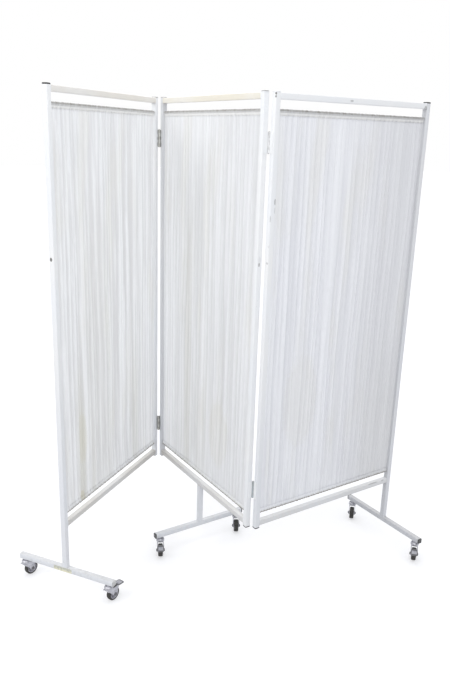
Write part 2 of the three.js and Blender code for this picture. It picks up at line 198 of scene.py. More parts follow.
class Finish(Network):
    """A procedural material"""

    def __init__(self, name, values):
        self.material = bpy.data.materials.new(name)
        self.material.use_nodes = True
        super().__init__(self.material.node_tree)
        self.shader = self.tree.nodes["Principled BSDF"]
        self.normal = None
        for socket, value in values.items():
            self.set(socket, value)

    def set(self, socket, value):
        self.feed(self.shader.inputs[socket], value)

    def coords(self, panel=None):
        """Object coordinates, turned into the panel's own where a panel is named"""
        at = self.node("ShaderNodeTexCoord", {}, "Object")
        if panel is None:
            return at
        (x, y), turn, _ = PANELS[panel]
        inputs = {"Vector": at, "Location": (x, y, 0), "Rotation": (0, 0, math.radians(turn))}
        return self.node("ShaderNodeMapping", inputs, vector_type="TEXTURE")

    def split(self, vector, scale=1 / MM):
        """X, Y and Z of a place in metres, in millimetres"""
        scaled = self.stretch(vector, (scale, scale, scale))
        return [self.node("ShaderNodeSeparateXYZ", {0: scaled}, axis) for axis in "XYZ"]

    def stretch(self, vector, scale):
        return self.vector("MULTIPLY", vector, scale)

    def noise(self, vector, scale, detail=2.0, roughness=0.5):
        inputs = {"Vector": vector, "Scale": scale, "Detail": detail, "Roughness": roughness}
        return self.node("ShaderNodeTexNoise", inputs, "Fac")

    def cells(self, vector, scale):
        return self.node("ShaderNodeTexVoronoi", {"Vector": vector, "Scale": scale}, "Distance")

    def patch(self, vector, centre, reach, ragged=0.5):
        """1 in a ragged patch about a place in millimetres, 0 around it"""
        away = self.vector("SUBTRACT", vector, [value * MM for value in centre])
        away = self.vector("DIVIDE", away, [value * MM for value in reach])
        rough = self.noise(vector, 320.0, 3.0) * ragged
        rim = ragged / 2
        return (self.vector("LENGTH", away, output="Value") + rough).fade(0.95 + rim, 1.2 + rim)

    def bump(self, height, distance, strength):
        """One more bump on those before it"""
        inputs = {"Height": height, "Distance": distance, "Strength": strength}
        if self.normal:
            inputs["Normal"] = self.normal
        self.normal = self.node("ShaderNodeBump", inputs)
        self.set("Normal", self.normal)

    def done(self, colour, rough, *bumps):
        """The material with its colour, its roughness, and bumps by height, depth in metres and strength"""
        self.set("Base Color", colour)
        self.set("Roughness", rough)
        for bump in bumps:
            self.bump(*bump)
        return self.material

    def see_through(self, colour, share):
        """Lets light through thin cloth"""
        thin = self.node("ShaderNodeBsdfTranslucent", {"Color": colour, "Normal": self.normal})
        cloth = Value(self, self.shader.outputs[0])
        both = self.node("ShaderNodeMixShader", {0: share, 1: cloth, 2: thin})
        self.feed(self.tree.nodes["Material Output"].inputs["Surface"], both)


WHITE_WARM = srgb(243, 243, 242)
WHITE_COOL = srgb(239, 241, 243)
DIRT = (0.20, 0.185, 0.16)
CHIP_AND_SHADE_TONE = (0.11, 0.105, 0.095)

# Places where the paint is chipped or marked, and places of painted shade beside the left hinges, in a
# panel's own millimetres: place, reach, depth of tone
CHIPS_AND_SHADE = {
    "left": [((-341.5, 2, 1214.5), (3, 4, 6), 0.9)],
    "middle": [
        ((341.5, -1.6, 1208), (2.2, 2.8, 6), 0.55),
        ((341.5, -1.0, 1222), (2.0, 4, 12), 0.1),
        ((-322.5, 0, 1722), (3, 8, 6), 0.45),
    ],
    "right": [
        ((-341.0, -9.5, 1732.5), (2.6, 4, 3.6), 0.9),
        ((-341.0, -9.5, 1724), (2.2, 4, 3.4), 0.75),
        ((-341.5, -4, 1215), (3, 5, 3.5), 0.32),
        ((-341.5, -10, 1269), (2, 4, 5), 0.14),
        ((-341.5, -9.5, 1357), (2.5, 2, 11), 0.3),
        ((-325, -9.5, 1410), (3.4, 2.4, 9), 0.5),
        ((-324.2, -9.5, 1383), (2.2, 2, 10), 0.3),
        ((243, -9.5, 271.5), (24, 4, 2.0), 0.4),
        ((296, -9.5, 270), (7, 4, 2.4), 0.28),
        ((-33, -9.5, 1726), (7, 2, 3), 0.4),
        ((317, -9.5, 1717), (6, 3, 10), 0.45),
    ],
}

# Painted shade on the post edges beside the left hinges, alike on both posts
for owner, edge in (("left", 339.5), ("middle", -339.5)):
    CHIPS_AND_SHADE[owner] += [
        ((edge, -9.2, 1612), (5.6, 4, 8), 0.34),
        ((edge, -9.2, 1589), (5.2, 4, 6), 0.4),
        ((edge, -9.2, 1566), (6.4, 4, 8), 0.36),
        ((edge, -9.2, 398), (5.6, 4, 34), 0.4),
    ]

# How far the paint of the top rails has yellowed, and to which colour
YELLOWED = {"left": (0.6, srgb(220, 212, 198)), "middle": (0.64, srgb(227, 217, 191))}

# How grimy the lower rails are, and how dusty the tops of the feet
GRIMY_RAILS = {"left": 0.62, "middle": 0.5, "right": 0.28}
DUSTY_FEET = {"left": 0.4, "middle": 0.25, "right": 0.85}

# The end of a lower rail that is darker than the rest, at the fold between the left and middle panels
DARKER_RAIL_ENDS = {"left": 1, "middle": -1}

# Posts with less painted shade low down: side of the panel
LESS_SHADED_POSTS = {"middle": 1}

# Posts in painted shade: side of the panel, painted shade all round, painted shade on the inner face
SHADED_POSTS = {"middle": (-1, 0.3, 0.4), "right": (1, 0.4, 0.5)}


def rail_tones(made, panel, at, colour):
    """Yellowed top rails, grimy lower rails, dust on the tops of the feet"""
    x, _, z = made.split(at)
    inside = abs(x).fade(CLEAR_HALF - 1, CLEAR_HALF + 1)
    uneven = made.noise(at, 5.0, 2.0).span(0.3, 0.6, 0.6, 1.0)
    if panel in YELLOWED:
        share, old = YELLOWED[panel]
        rail_under = FRAME_TOP - TUBE
        rail = z.span(rail_under - 1.286, rail_under + 0.714, 0.0, share) * inside
        colour = colour.toward(old, rail * uneven)
    rail_top = RAIL_BOTTOM + TUBE
    low = z.span(RAIL_BOTTOM - 1.186, RAIL_BOTTOM - 0.386) * z.fade(rail_top + 0.214, rail_top + 1.714)
    low = low * inside
    colour = colour.toward(srgb(200, 194, 183), low * uneven * GRIMY_RAILS[panel])
    if panel in DARKER_RAIL_ENDS:
        toward_end = (x * DARKER_RAIL_ENDS[panel]).span(80, 320, 0.0, 0.6)
        colour = colour.toward(srgb(190, 186, 179), low * toward_end)
    edge = low * z.fade(RAIL_BOTTOM + 1.714, RAIL_BOTTOM + 3.714)
    spots = made.noise(at, 110.0, 4.0, 0.7).span(0.46, 0.62, 0.0, GRIMY_RAILS[panel])
    colour = colour.toward(srgb(138, 126, 104), edge * spots)
    up = made.split(made.node("ShaderNodeNewGeometry", {}, "Normal"), 1.0)[2]
    dust = up.span(0.4, 0.9, 0.0, DUSTY_FEET[panel]) * z.fade(FOOT_TOP + 1.714, FOOT_TOP + 4.214)
    return colour.toward(srgb(188, 186, 183), dust * made.noise(at, 32.0, 4.0, 0.6).span(0.25, 0.6, 0.6, 1.0))


def enamel(name, panel=None, own=False):
    """White stove enamel on steel: faint orange peel, painted shade low down and on the shaded posts,
    handling marks, chips where listed and painted shade beside the left hinges
    """
    made = Finish(name, {"Roughness": 0.4, "Coat Weight": 0.12, "Coat Roughness": 0.2})
    at = made.coords(None if own else panel)
    x, _, z = made.split(at)
    colour = made.mix(made.noise(at, 3.1, 3.0).span(0.35, 0.65), WHITE_WARM, WHITE_COOL)
    if panel:
        # Painted shade: greyer low down
        low_painted_shade = z.span(100, 1200, 0.8, 0.0)
        if panel in LESS_SHADED_POSTS:
            low_painted_shade *= (x * LESS_SHADED_POSTS[panel]).span(CLEAR_HALF - 1, CLEAR_HALF, 1.0, 0.3)
        colour = rail_tones(made, panel, at, colour.toward(srgb(222, 224, 228), low_painted_shade))
    # Painted shade on the listed posts, deepest on the inner face
    if panel in SHADED_POSTS:
        side, all_round, inner = SHADED_POSTS[panel]
        across = x * side
        colour = colour.toward(srgb(206, 207, 211), across.span(321.0, 321.8, 0.0, all_round))
        colour = colour.toward(srgb(182, 183, 186), abs(across - CLEAR_HALF).span(0.6, 1.2, inner, 0.0))
    smear = made.noise(made.stretch(at, (1, 1, 0.35)), 38.0, 5.0, 0.65).span(0.6, 0.8, 0.0, 0.14)
    specks = made.cells(at, 95.0).fade(0.05, 0.09) * made.noise(at, 17.0, 2.0).span(0.6, 0.68)
    grime = z.fade(60, 200) * made.noise(at, 60.0, 4.0).span(0.5, 0.75, 0.0, 0.16)
    colour = colour.toward(srgb(186, 182, 172), smear).toward(DIRT, specks).toward(DIRT, grime)
    bumps = [(made.noise(at, 520.0, 1.0), 0.00012, 0.5), (made.noise(at, 42.0, 2.0), 0.0012, 0.16)]
    # Chips and marks, and the painted shade beside the left hinges
    for place, reach, tone in CHIPS_AND_SHADE.get(panel, []):
        patch = made.patch(at, place, reach) * tone
        colour = colour.toward(CHIP_AND_SHADE_TONE, patch)
        bumps.append((patch * -1.0, 0.0002, 0.8))
    return made.done(colour, made.noise(at, 24.0, 3.0).span(0.3, 0.7, 0.33, 0.5), *bumps)


def rod_steel():
    """Drawn bright steel, dulled, with fine marks round it"""
    made = Finish("rod_bright_steel", {"Metallic": 1.0, "Roughness": 0.35})
    at = made.coords()
    rings = made.noise(made.stretch(at, (40, 1, 1)), 30.0, 3.0, 0.6)
    colour = made.mix(rings.span(0.3, 0.7), (0.30, 0.30, 0.30), (0.46, 0.455, 0.44))
    rough = made.noise(at, 90.0, 3.0).span(0.3, 0.7, 0.28, 0.48)
    return made.done(colour, rough, (rings, 0.0001, 0.25))


def zinc(name, pedal=False):
    """Zinc-plated pressed steel: spangled grey with rubbed and dull places, a pedal with painted shade at its
    rim
    """
    made = Finish(name, {"Metallic": 0.9, "Roughness": 0.36})
    at = made.coords()
    spangle = made.cells(at, 260.0)
    cloud = made.noise(at, 70.0, 4.0, 0.6)
    stain = made.noise(at, 34.0, 5.0, 0.7).span(0.55, 0.74, 0.0, 0.75)
    colour = made.mix(cloud.span(0.3, 0.7), (0.30, 0.305, 0.345), (0.57, 0.57, 0.62))
    colour = colour.toward((0.66, 0.66, 0.67), spangle.span(0.2, 0.7, 0.0, 0.25))
    colour = colour.toward((0.16, 0.15, 0.135), stain)
    if pedal:
        # Painted shade on the pedal's sides, its tip and its root
        x, y, _ = made.split(at)
        rim = made.highest(abs(y).span(8.8, 11.2), x.span(62.0, 64.5), x.fade(38.0, 44.0))
        colour = colour.toward((0.10, 0.10, 0.10), rim * cloud.span(0.3, 0.6, 0.5, 0.9))
    made.set("Metallic", stain.span(0.0, 0.8, 0.92, 0.45))
    bumps = [(spangle, 0.0002, 0.12), (made.noise(at, 420.0, 2.0), 0.00012, 0.35)]
    return made.done(colour, cloud.span(0.3, 0.75, 0.28, 0.55), *bumps)


def worn_hinge(name, low, high, seam_depth):
    """Painted hinge, its paint worn to steel on the knuckles. low and high set how much of it is gone."""
    made = Finish(name, {"Roughness": 0.42})
    at = made.coords()
    x, y, _ = made.split(at)
    away = made.math("SQRT", x * x + y * y)
    cloud = made.noise(made.stretch(at, (1, 1, 0.5)), 120.0, 3.0)
    gone = away.fade(3.7, 4.2) * cloud.span(low, high)
    steel = made.mix(cloud.span(0.35, 0.65), srgb(176, 186, 192), srgb(206, 214, 218))
    # A darker line round the barrel, where the leaves join it
    seam = away.span(3.3, 3.6) * away.fade(4.5, 5.2) * cloud.span(0.4, 0.56, 0.05, seam_depth)
    colour = made.mix(cloud, WHITE_WARM, WHITE_COOL).toward(steel, gone).toward(DIRT, seam)
    made.set("Metallic", gone * 0.5)
    return made.done(colour, cloud.span(0.3, 0.7, 0.36, 0.55), (cloud, 0.0004, 0.3))


def rubbed_cap():
    """Black plastic cap painted over, its top rubbed bare"""
    made = Finish("rubbed_cap_paint", {"Roughness": 0.4})
    at = made.coords()
    cloud = made.noise(at, 160.0, 4.0, 0.6)
    bare = (made.split(at)[2] + cloud * 2.0).span(4.0, 4.8)
    colour = made.mix(cloud, WHITE_WARM, WHITE_COOL).toward((0.03, 0.03, 0.03), bare)
    return made.done(colour, cloud.span(0.3, 0.7, 0.34, 0.55), (cloud, 0.0003, 0.3))


def hinge_steel(name, dark, light):
    """Bare mild steel, handled and slightly tarnished"""
    made = Finish(name, {"Metallic": 0.8, "Roughness": 0.45})
    at = made.coords()
    cloud = made.noise(made.stretch(at, (1, 1, 0.4)), 110.0, 4.0, 0.6)
    tarnish = made.noise(at, 230.0, 4.0, 0.7).span(0.56, 0.72, 0.0, 0.6)
    colour = made.mix(cloud.span(0.3, 0.7), dark, light).toward((0.09, 0.075, 0.05), tarnish)
    return made.done(colour, cloud.span(0.3, 0.7, 0.36, 0.58), (cloud, 0.0003, 0.25))


def moulded(name, dark, light, roughness, recess_shade=0.0):
    """Moulded plastic: fine grain, flow marks, dusty scuffs, painted shade in the recess about an axle along
    Y
    """
    made = Finish(name, {"Roughness": roughness})
    at = made.coords()
    flow = made.noise(made.stretch(at, (1, 1, 3)), 60.0, 3.0)
    scuff = made.noise(at, 150.0, 5.0, 0.75).span(0.56, 0.74, 0.0, 0.3)
    colour = made.mix(flow.span(0.3, 0.7), dark, light).toward((0.42, 0.41, 0.39), scuff)
    # Painted shade in the recess
    if recess_shade:
        colour = colour.toward((0.09, 0.09, 0.095), abs(made.split(at)[1]).span(4.8, 6.4, recess_shade, 0.0))
    rough = flow.span(0.2, 0.8, roughness - 0.08, roughness + 0.12)
    return made.done(colour, rough, (made.noise(at, 900.0, 1.0), 0.0001, 0.3))


def tyre_rubber():
    """Grey-black solid tyre, mottled and dusty, with a fine grain"""
    made = Finish("tyre_rubber", {"Roughness": 0.72})
    at = made.coords()
    cloud = made.noise(at, 130.0, 4.0, 0.65)
    dust = made.noise(at, 420.0, 3.0, 0.7).span(0.55, 0.75, 0.0, 0.4)
    colour = made.mix(cloud.span(0.3, 0.72), (0.022, 0.021, 0.020), (0.060, 0.057, 0.053))
    colour = colour.toward((0.21, 0.195, 0.175), dust)
    return made.done(colour, cloud.span(0.3, 0.7, 0.6, 0.86), (made.noise(at, 800.0, 2.0), 0.00015, 0.5))


def label_film():
    """Old pale yellow label film, bare, greyer towards its upper edge, with rubbed smudges"""
    made = Finish("label_film", {"Roughness": 0.5})
    at = made.coords("left")
    _, y, z = made.split(at)
    ragged = made.noise(at, 130.0, 3.0) * 6.0
    smudge = made.noise(at, 130.0, 5.0, 0.7).span(0.48, 0.62, 0.0, 0.6) * y.span(0.0, 35, 0.45, 1.0)
    colour = made.mix(made.noise(at, 60.0, 3.0).span(0.3, 0.7), srgb(236, 234, 208), srgb(228, 224, 194))
    colour = colour.toward(srgb(200, 201, 190), (z + ragged).span(81.5, 86.5, 0.0, 0.85))
    colour = colour.toward(srgb(128, 126, 112), smudge)
    rough = made.noise(at, 90.0, 3.0).span(0.3, 0.7, 0.4, 0.62)
    return made.done(colour, rough, (made.noise(at, 210.0, 3.0), 0.0002, 0.35))


# Marks of use on the curtains, in the panel's own millimetres: place, reach, depth of tone
CLOTH_STAINS = {
    "left": [((-216, 0, 318), (12, 40, 22), 0.4), ((-205, 0, 545), (22, 60, 90), 0.2)],
    "middle": [((120, 0, 520), (60, 60, 120), 0.12)],
    "right": [((-160, 0, 700), (70, 60, 160), 0.1)],
}

# Broad upright bands: olive bands of wear, painted light near the fold between the left and middle curtains,
# painted shade toward the right: place across, half width, upper end, depth of tone, colour
OLIVE = srgb(206, 204, 190)
PAINTED_SHADE_GREY = srgb(200, 200, 202)
CORNER_PAINTED_LIGHT = srgb(252, 253, 254)
CLOTH_BANDS = {
    "left": [
        (-213, 26, 950, 0.42, OLIVE), (-140, 14, 700, 0.25, OLIVE), (165, 30, 950, 0.2, OLIVE),
        (-90, 90, 1500, 0.1, OLIVE), (322, 120, 2400, 0.2, CORNER_PAINTED_LIGHT),
    ],
    "middle": [
        (-118, 32, 1500, 0.25, OLIVE), (-10, 60, 900, 0.1, OLIVE), (190, 150, 2400, 0.15, PAINTED_SHADE_GREY),
        (-322, 110, 1300, 0.25, CORNER_PAINTED_LIGHT),
    ],
    "right": [(250, 110, 1000, 0.14, OLIVE), (350, 330, 2400, 0.4, PAINTED_SHADE_GREY)],
}

# Tones along the casings: painted light under the top rod, painted shade where the top rod shows through, a
# dark line along the top, a dark brown line along the bottom and a grey band over the bottom rod: rod, lower
# and upper end from its middle, least and most tone, colour
CASING_TONES = [
    (TOP_ROD, -13.5, -5.5, 0.6, 1.0, srgb(254, 253, 250)),
    (TOP_ROD, -5.0, 0.4, 0.35, 0.75, srgb(198, 196, 192)),
    (TOP_ROD, 0.2, 7.5, 0.45, 0.95, srgb(140, 136, 129)),
    (LOW_ROD, -7.5, 0.4, 0.5, 1.0, srgb(106, 96, 78)),
    (LOW_ROD, 0.4, 5.0, 0.0, 0.35, srgb(160, 156, 142)),
]

# Painted light on the fold crests and painted shade in the folds of each curtain, the right curtain in cooler
# painted shade with less contrast, and the share of light let through by the sheet and by its casings
CLOTH_TONES = {
    "left": (srgb(245, 246, 247), srgb(224, 224, 225)),
    "middle": (srgb(245, 246, 247), srgb(230, 231, 231)),
    "right": (srgb(241, 242, 245), srgb(230, 231, 235)),
}
SHEET_LIGHT = 0.34
CASING_LIGHT = 0.04


def curtain_cloth(panel):
    """Thin off-white cotton: plain weave, slubs, painted light and shade by fold, worn bands and bands of
    painted light and shade, painted shade low down and at the top, painted light and shade along the casings
    """
    values = {"Roughness": 0.92, "Sheen Weight": 0.12, "Sheen Roughness": 0.5, "Specular IOR Level": 0.25}
    made = Finish(f"{panel}_curtain_cotton", values)
    at = made.coords()
    x, y, z = made.split(at)
    thread = made.node("ShaderNodeUVMap", {}, "UV", uv_map="cloth")

    def drawn(share, scale, roughness=0.5, detail=3.0):
        """Noise drawn out along the warp"""
        return made.noise(made.stretch(thread, (1, share, 1)), scale, detail, roughness)

    light, shade = CLOTH_TONES[panel]
    fold = made.node("ShaderNodeAttribute", {}, "Fac", attribute_name="fold")
    streak = drawn(0.04, 76.0, 0.62)
    tint = drawn(0.2, 8.0)
    # Painted light on the crests and painted shade in the folds, and painted light and shade in streaks along
    # the warp
    colour = made.mix((fold * 0.45 + streak * 0.55).span(0.36, 0.62), shade, light)
    colour = colour.toward(srgb(230, 228, 218), tint.span(0.52, 0.7, 0.0, 0.3))
    # Painted shade: a little darker low down, and darker toward the top
    colour = colour.toward(srgb(226, 226, 229), z.span(300, 1600, 0.08, 0.0))
    colour = colour.toward(srgb(222, 223, 226), z.span(1150, 1680, 0.0, 0.22))
    for place, half, top, share, look in CLOTH_BANDS[panel]:
        band = abs(x - place).span(0.4 * half, 1.3 * half, share, 0.0) * z.fade(top - 400, top)
        colour = colour.toward(look, band)
    slub = drawn(0.05, 700.0, detail=2.0)
    colour = colour.toward(srgb(216, 216, 216), slub.span(0.52, 0.75, 0.0, 0.2))
    for place, reach, share in CLOTH_STAINS[panel]:
        colour = colour.toward(srgb(206, 200, 172), made.patch(at, place, reach, 0.9) * share)
    fine = drawn(0.15, 190.0, 0.6)
    front = y.span(-0.6, 1.2, 1.0, 0.3)
    # Painted light and shade, and dark lines, along the casings
    for rod, start, end, least, most, look in CASING_TONES:
        off = z - rod
        casing_tone = off.span(start - 1.5, start) * off.fade(end, end + 1.5) * front
        colour = colour.toward(look, casing_tone * fine.span(0.34, 0.66, least, most))
    inputs = {"Vector": thread, "Scale": 330.0, "Distortion": 0.6}
    weft, warp = (made.node("ShaderNodeTexWave", inputs, "Fac", bands_direction=way) for way in "XY")
    bumps = [(weft + warp, 0.00012, 0.3), (drawn(0.3, 60.0), 0.0012, 0.2)]
    made.done(colour, tint.span(0.3, 0.7, 0.86, 0.96), *bumps)
    hem = abs(z - (TOP_ROD + LOW_ROD) / 2)
    edge = (TOP_ROD - LOW_ROD) / 2 - SEAM_DROP
    made.see_through(colour, hem.span(edge - 2, edge + 3, SHEET_LIGHT, CASING_LIGHT))
    return made.material


def thread_cotton():
    """White sewing thread, twisted"""
    made = Finish("sewing_thread", {"Roughness": 0.85})
    twist = made.noise(made.coords(), 1500.0, 2.0)
    colour = made.mix(twist.span(0.3, 0.7), srgb(196, 194, 190), srgb(222, 221, 217))
    return made.done(colour, 0.85, (twist, 0.0002, 0.5))


# Mesh making


def in_scene(name, data):
    """A new object in the scene"""
    made = bpy.data.objects.new(name, data)
    bpy.context.scene.collection.objects.link(made)
    return made


def make_mesh(name, vertices, faces, materials, sharp=35, indices=None):
    """A mesh object from millimetres, smooth but for edges sharper than the angle"""
    mesh = bpy.data.meshes.new(name)
    mesh.from_pydata([tuple(value * MM for value in vertex) for vertex in vertices], [], faces)
    for material in materials:
        mesh.materials.append(material)
    if indices is not None:
        mesh.polygons.foreach_set("material_index", indices)
    mesh.shade_smooth()
    mesh.set_sharp_from_angle(angle=math.radians(sharp))
    mesh.update()
    return in_scene(name, mesh)


def bevelled(obj, width, angle=30):
    """Rounds the piece's sharp edges"""
    edge = obj.modifiers.new("edges", "BEVEL")
    edge.width = width * MM
    edge.segments = 2
    edge.limit_method = "ANGLE"
    edge.angle_limit = math.radians(angle)
    edge.harden_normals = True
    return obj


def placed(obj, matrix, body, slot, *replaced):
    """Stands a piece in the part's frame, on its body, in place of the named nodes"""
    obj.matrix_world = matrix
    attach(obj, body)
    if replaced:
        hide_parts(*replaced)


def on_panel(obj, panel, slot, *replaced, at=Matrix()):
    """Stands a piece in a panel's own frame, or at a place in it"""
    placed(obj, panel_matrix(panel) @ at, PANELS[panel][2], slot, *replaced)


def outward(mesh):
    """Turns the faces of closed shells outwards"""
    work = bmesh.new()
    work.from_mesh(mesh)
    bmesh.ops.recalc_face_normals(work, faces=work.faces)
    work.to_mesh(mesh)
    work.free()


def upright(u, v, w):
    return (u, v, w)


def along_y(x=0, z=0):
    """Turns (u, v, w) into a place, with w along Y"""
    return lambda u, v, w: (x + u, w, z + v)


def along_x(x=0, z=0, side=1):
    """Turns (u, v, w) into a place, with w along X, or against it"""
    return lambda u, v, w: (x + side * w, u, z + v)


def arc(x, y, radius, start, end, steps):
    """Points on an arc, degrees"""
    turns = [math.radians(start + (end - start) * step / steps) for step in range(steps + 1)]
    return [(x + radius * math.cos(turn), y + radius * math.sin(turn)) for turn in turns]


def circle(radius, sides=24, start=0):
    """Points round a circle, or the corners of an even polygon"""
    return arc(0, 0, radius, start, start + 360, sides)[:-1]


def rounded_box(width, height, radius, steps, centre=(0, 0)):
    """Outline of a rectangle with rounded corners"""
    points = []
    for quarter, (side, end) in enumerate([(1, 1), (-1, 1), (-1, -1), (1, -1)]):
        x = centre[0] + side * (width / 2 - radius)
        y = centre[1] + end * (height / 2 - radius)
        points += arc(x, y, radius, 90 * quarter, 90 * quarter + 90, steps)
    return points


def mirror(profile, middle=0):
    """A profile's points in reverse, mirrored about a height"""
    return [(radius, 2 * middle - height) for radius, height in reversed(profile)]


class Parts:
    """Vertices and faces of several shells that make one mesh. A spot turns (u, v, w) into a place."""

    def __init__(self):
        self.vertices = []
        self.faces = []
        self.indices = []

    def add(self, vertices, faces, index=0):
        start = len(self.vertices)
        self.vertices.extend(tuple(vertex) for vertex in vertices)
        self.faces.extend(tuple(start + corner for corner in face) for face in faces)
        self.indices.extend([index] * len(faces))

    def lathe(self, profile, sides, spot=upright, index=0):
        """Turned shell from (radius, height) points, closed by a radius of 0"""
        vertices, rings = [], []
        for radius, height in profile:
            points = circle(radius, sides) if radius else [(0, 0)]
            places = list(range(len(vertices), len(vertices) + len(points)))
            rings.append(places if radius else places * sides)
            vertices += [spot(u, v, height) for u, v in points]
        faces = []
        for low, high in zip(rings, rings[1:]):
            for side in range(sides):
                after = (side + 1) % sides
                corners = dict.fromkeys([low[side], low[after], high[after], high[side]])
                if len(corners) > 2:
                    faces.append(tuple(corners))
        self.add(vertices, faces, index)

    def slab(self, loops, low, high, spot=upright, index=0):
        """Flat shape with holes, thick from low to high"""
        flat = [point for loop in loops for point in loop]
        triangles = tessellate_polygon([[Vector((u, v, 0)) for u, v in loop] for loop in loops])
        count = len(flat)
        vertices = [spot(u, v, low) for u, v in flat] + [spot(u, v, high) for u, v in flat]
        faces = [tuple(triangle) for triangle in triangles]
        faces += [tuple(corner + count for corner in reversed(triangle)) for triangle in triangles]
        start = 0
        for loop in loops:
            for at in range(len(loop)):
                one, two = start + at, start + (at + 1) % len(loop)
                faces.append((one, two, two + count, one + count))
            start += len(loop)
        self.add(vertices, faces, index)

    def skin(self, rings, looped=False):
        """A shell over rings of vertices. Its ends are closed, or joined where it is looped."""
        count, width = len(rings), len(rings[0])
        faces = []
        for row in range(count if looped else count - 1):
            low, high = row * width, (row + 1) % count * width
            for at in range(width):
                after = (at + 1) % width
                faces.append((low + at, low + after, high + after, high + at))
        if not looped:
            faces.append(tuple(range(width)))
            faces.append(tuple(reversed(range((count - 1) * width, count * width))))
        self.add([vertex for ring in rings for vertex in ring], faces)

    def object(self, name, materials, sharp=35):
        made = make_mesh(name, self.vertices, self.faces, materials, sharp, self.indices)
        outward(made.data)
        return made


# The curtains: one sheet each, from the hem behind the top rod to the hem behind the bottom rod

PLEAT_PITCH = 21
PLEAT_SHARES = [1, 0.72, 0.94, 0.6, 0.86, 0.78, 1, 0.66]
PLEAT_SEEDS = {"middle": 1, "left": 2, "right": 3}
CLOTH_COLUMNS = 760
CLOTH_ROWS_BETWEEN = 84
SEAM_DROP = 12.5
SEAM_HALF = 0.4
LOOP_RADIUS = 4.45

# Rows of the cloth that the seams are sewn along, counted from either hem
BACK_SEAM_ROW = 2
FRONT_SEAM_ROW = 22
STITCH_PITCH = 3.3
STITCH_LENGTH = 2.5


def eased_cells(places, pitch):
    """The cell of the pitch that each place lies in, and how far along in it, eased at both ends"""
    at = (places - places.min()) / pitch
    cell = at.astype(int)
    share = at - cell
    return cell, share * share * (3 - 2 * share)


def random_line(places, pitch, rng):
    """Smooth chance values from -1 to 1, one each pitch along the places"""
    values = rng.uniform(-1, 1, int(np.ptp(places) / pitch) + 3)
    cell, share = eased_cells(places, pitch)
    return values[cell] * (1 - share) + values[cell + 1] * share


def random_field(across, up, pitch_across, pitch_up, rng):
    """Smooth chance values from -1 to 1 over the sheet, a row for each height"""
    knots = range(int(np.ptp(up) / pitch_up) + 3)
    lines = np.array([random_line(across, pitch_across, rng) for _ in knots])
    cell, share = eased_cells(up, pitch_up)
    share = share[:, None]
    return lines[cell] * (1 - share) + lines[cell + 1] * share


def waves(across, points, values):
    """Rounded folds through crests and troughs"""
    cell = np.clip(np.searchsorted(points, across) - 1, 0, len(points) - 2)
    share = np.clip((across - points[cell]) / (points[cell + 1] - points[cell]), 0, 1)
    share = 0.5 - 0.5 * np.cos(np.pi * share)
    return values[cell] * (1 - share) + values[cell + 1] * share


def pleats(seed):
    """Crests and troughs of the main folds, as in the part's source, as shares of the depth"""
    length = 2 * CURTAIN_HALF
    count = round(length / PLEAT_PITCH)
    points, values = [-CURTAIN_HALF], [0.0]
    for pleat in range(count):
        share = PLEAT_SHARES[(pleat + seed) % len(PLEAT_SHARES)]
        for phase, sign in ((0.25, 1), (0.75, -1)):
            along = (pleat + phase) / count * length
            sway = math.sin(2 * math.pi * along / 97 + seed) * math.sin(math.pi * along / length)
            points.append(along - CURTAIN_HALF + 0.2 * PLEAT_PITCH * sway)
            values.append(sign * share)
    return np.array(points + [CURTAIN_HALF]), np.array(values + [0.0])


def gathers(pitch, rng):
    """Crests and troughs of folds of uneven width and depth"""
    points, values, sign = [-CURTAIN_HALF - 12.0], [0.0], 1
    while points[-1] < CURTAIN_HALF + 12:
        points.append(points[-1] + pitch / 2 * rng.uniform(0.45, 1.65))
        values.append(sign * rng.uniform(0.3, 1.0))
        sign = -sign
    return np.array(points), np.array(values)


def cloth_path():
    """Places down the sheet: y and z, then how far its folds stand off the rod, and off the sheet"""
    edge = math.asin(LOOP_RADIUS / SEAM_DROP)
    leave_y, leave_z = LOOP_RADIUS * math.cos(edge), -LOOP_RADIUS * math.sin(edge)

    def between(side, share):
        """A place between a seam and where the cloth leaves the rod"""
        y = SEAM_HALF + (leave_y - SEAM_HALF) * share
        return (side * y, (leave_z + SEAM_DROP) * share - SEAM_DROP, share, 1 - share)

    start, end = -math.degrees(edge), 180 + math.degrees(edge)
    casing = [(0.9, -16.2, 0, 1), (0.75, -14.4, 0, 1), (SEAM_HALF, -SEAM_DROP, 0, 1)]
    casing += [between(1, 0.3), between(1, 0.62)]
    casing += [(y, z, 1, 0) for y, z in arc(0, 0, LOOP_RADIUS, start, end, 14)]
    casing += [between(-1, 0.62), between(-1, 0.3), (-SEAM_HALF, -SEAM_DROP, 0, 1), (-0.1, -14.2, 0, 1)]
    top = [(y, TOP_ROD + z, off, sheet) for y, z, off, sheet in casing]
    low = [(y, LOW_ROD - z, off, sheet) for y, z, off, sheet in reversed(casing)]
    share = np.linspace(0, 1, CLOTH_ROWS_BETWEEN)
    share = share - 0.1 * np.sin(2 * np.pi * share)
    first, last = TOP_ROD - 16.5, LOW_ROD + 16.5
    return np.array(top + [(0.0, first + (last - first) * part, 0, 1) for part in share] + low)


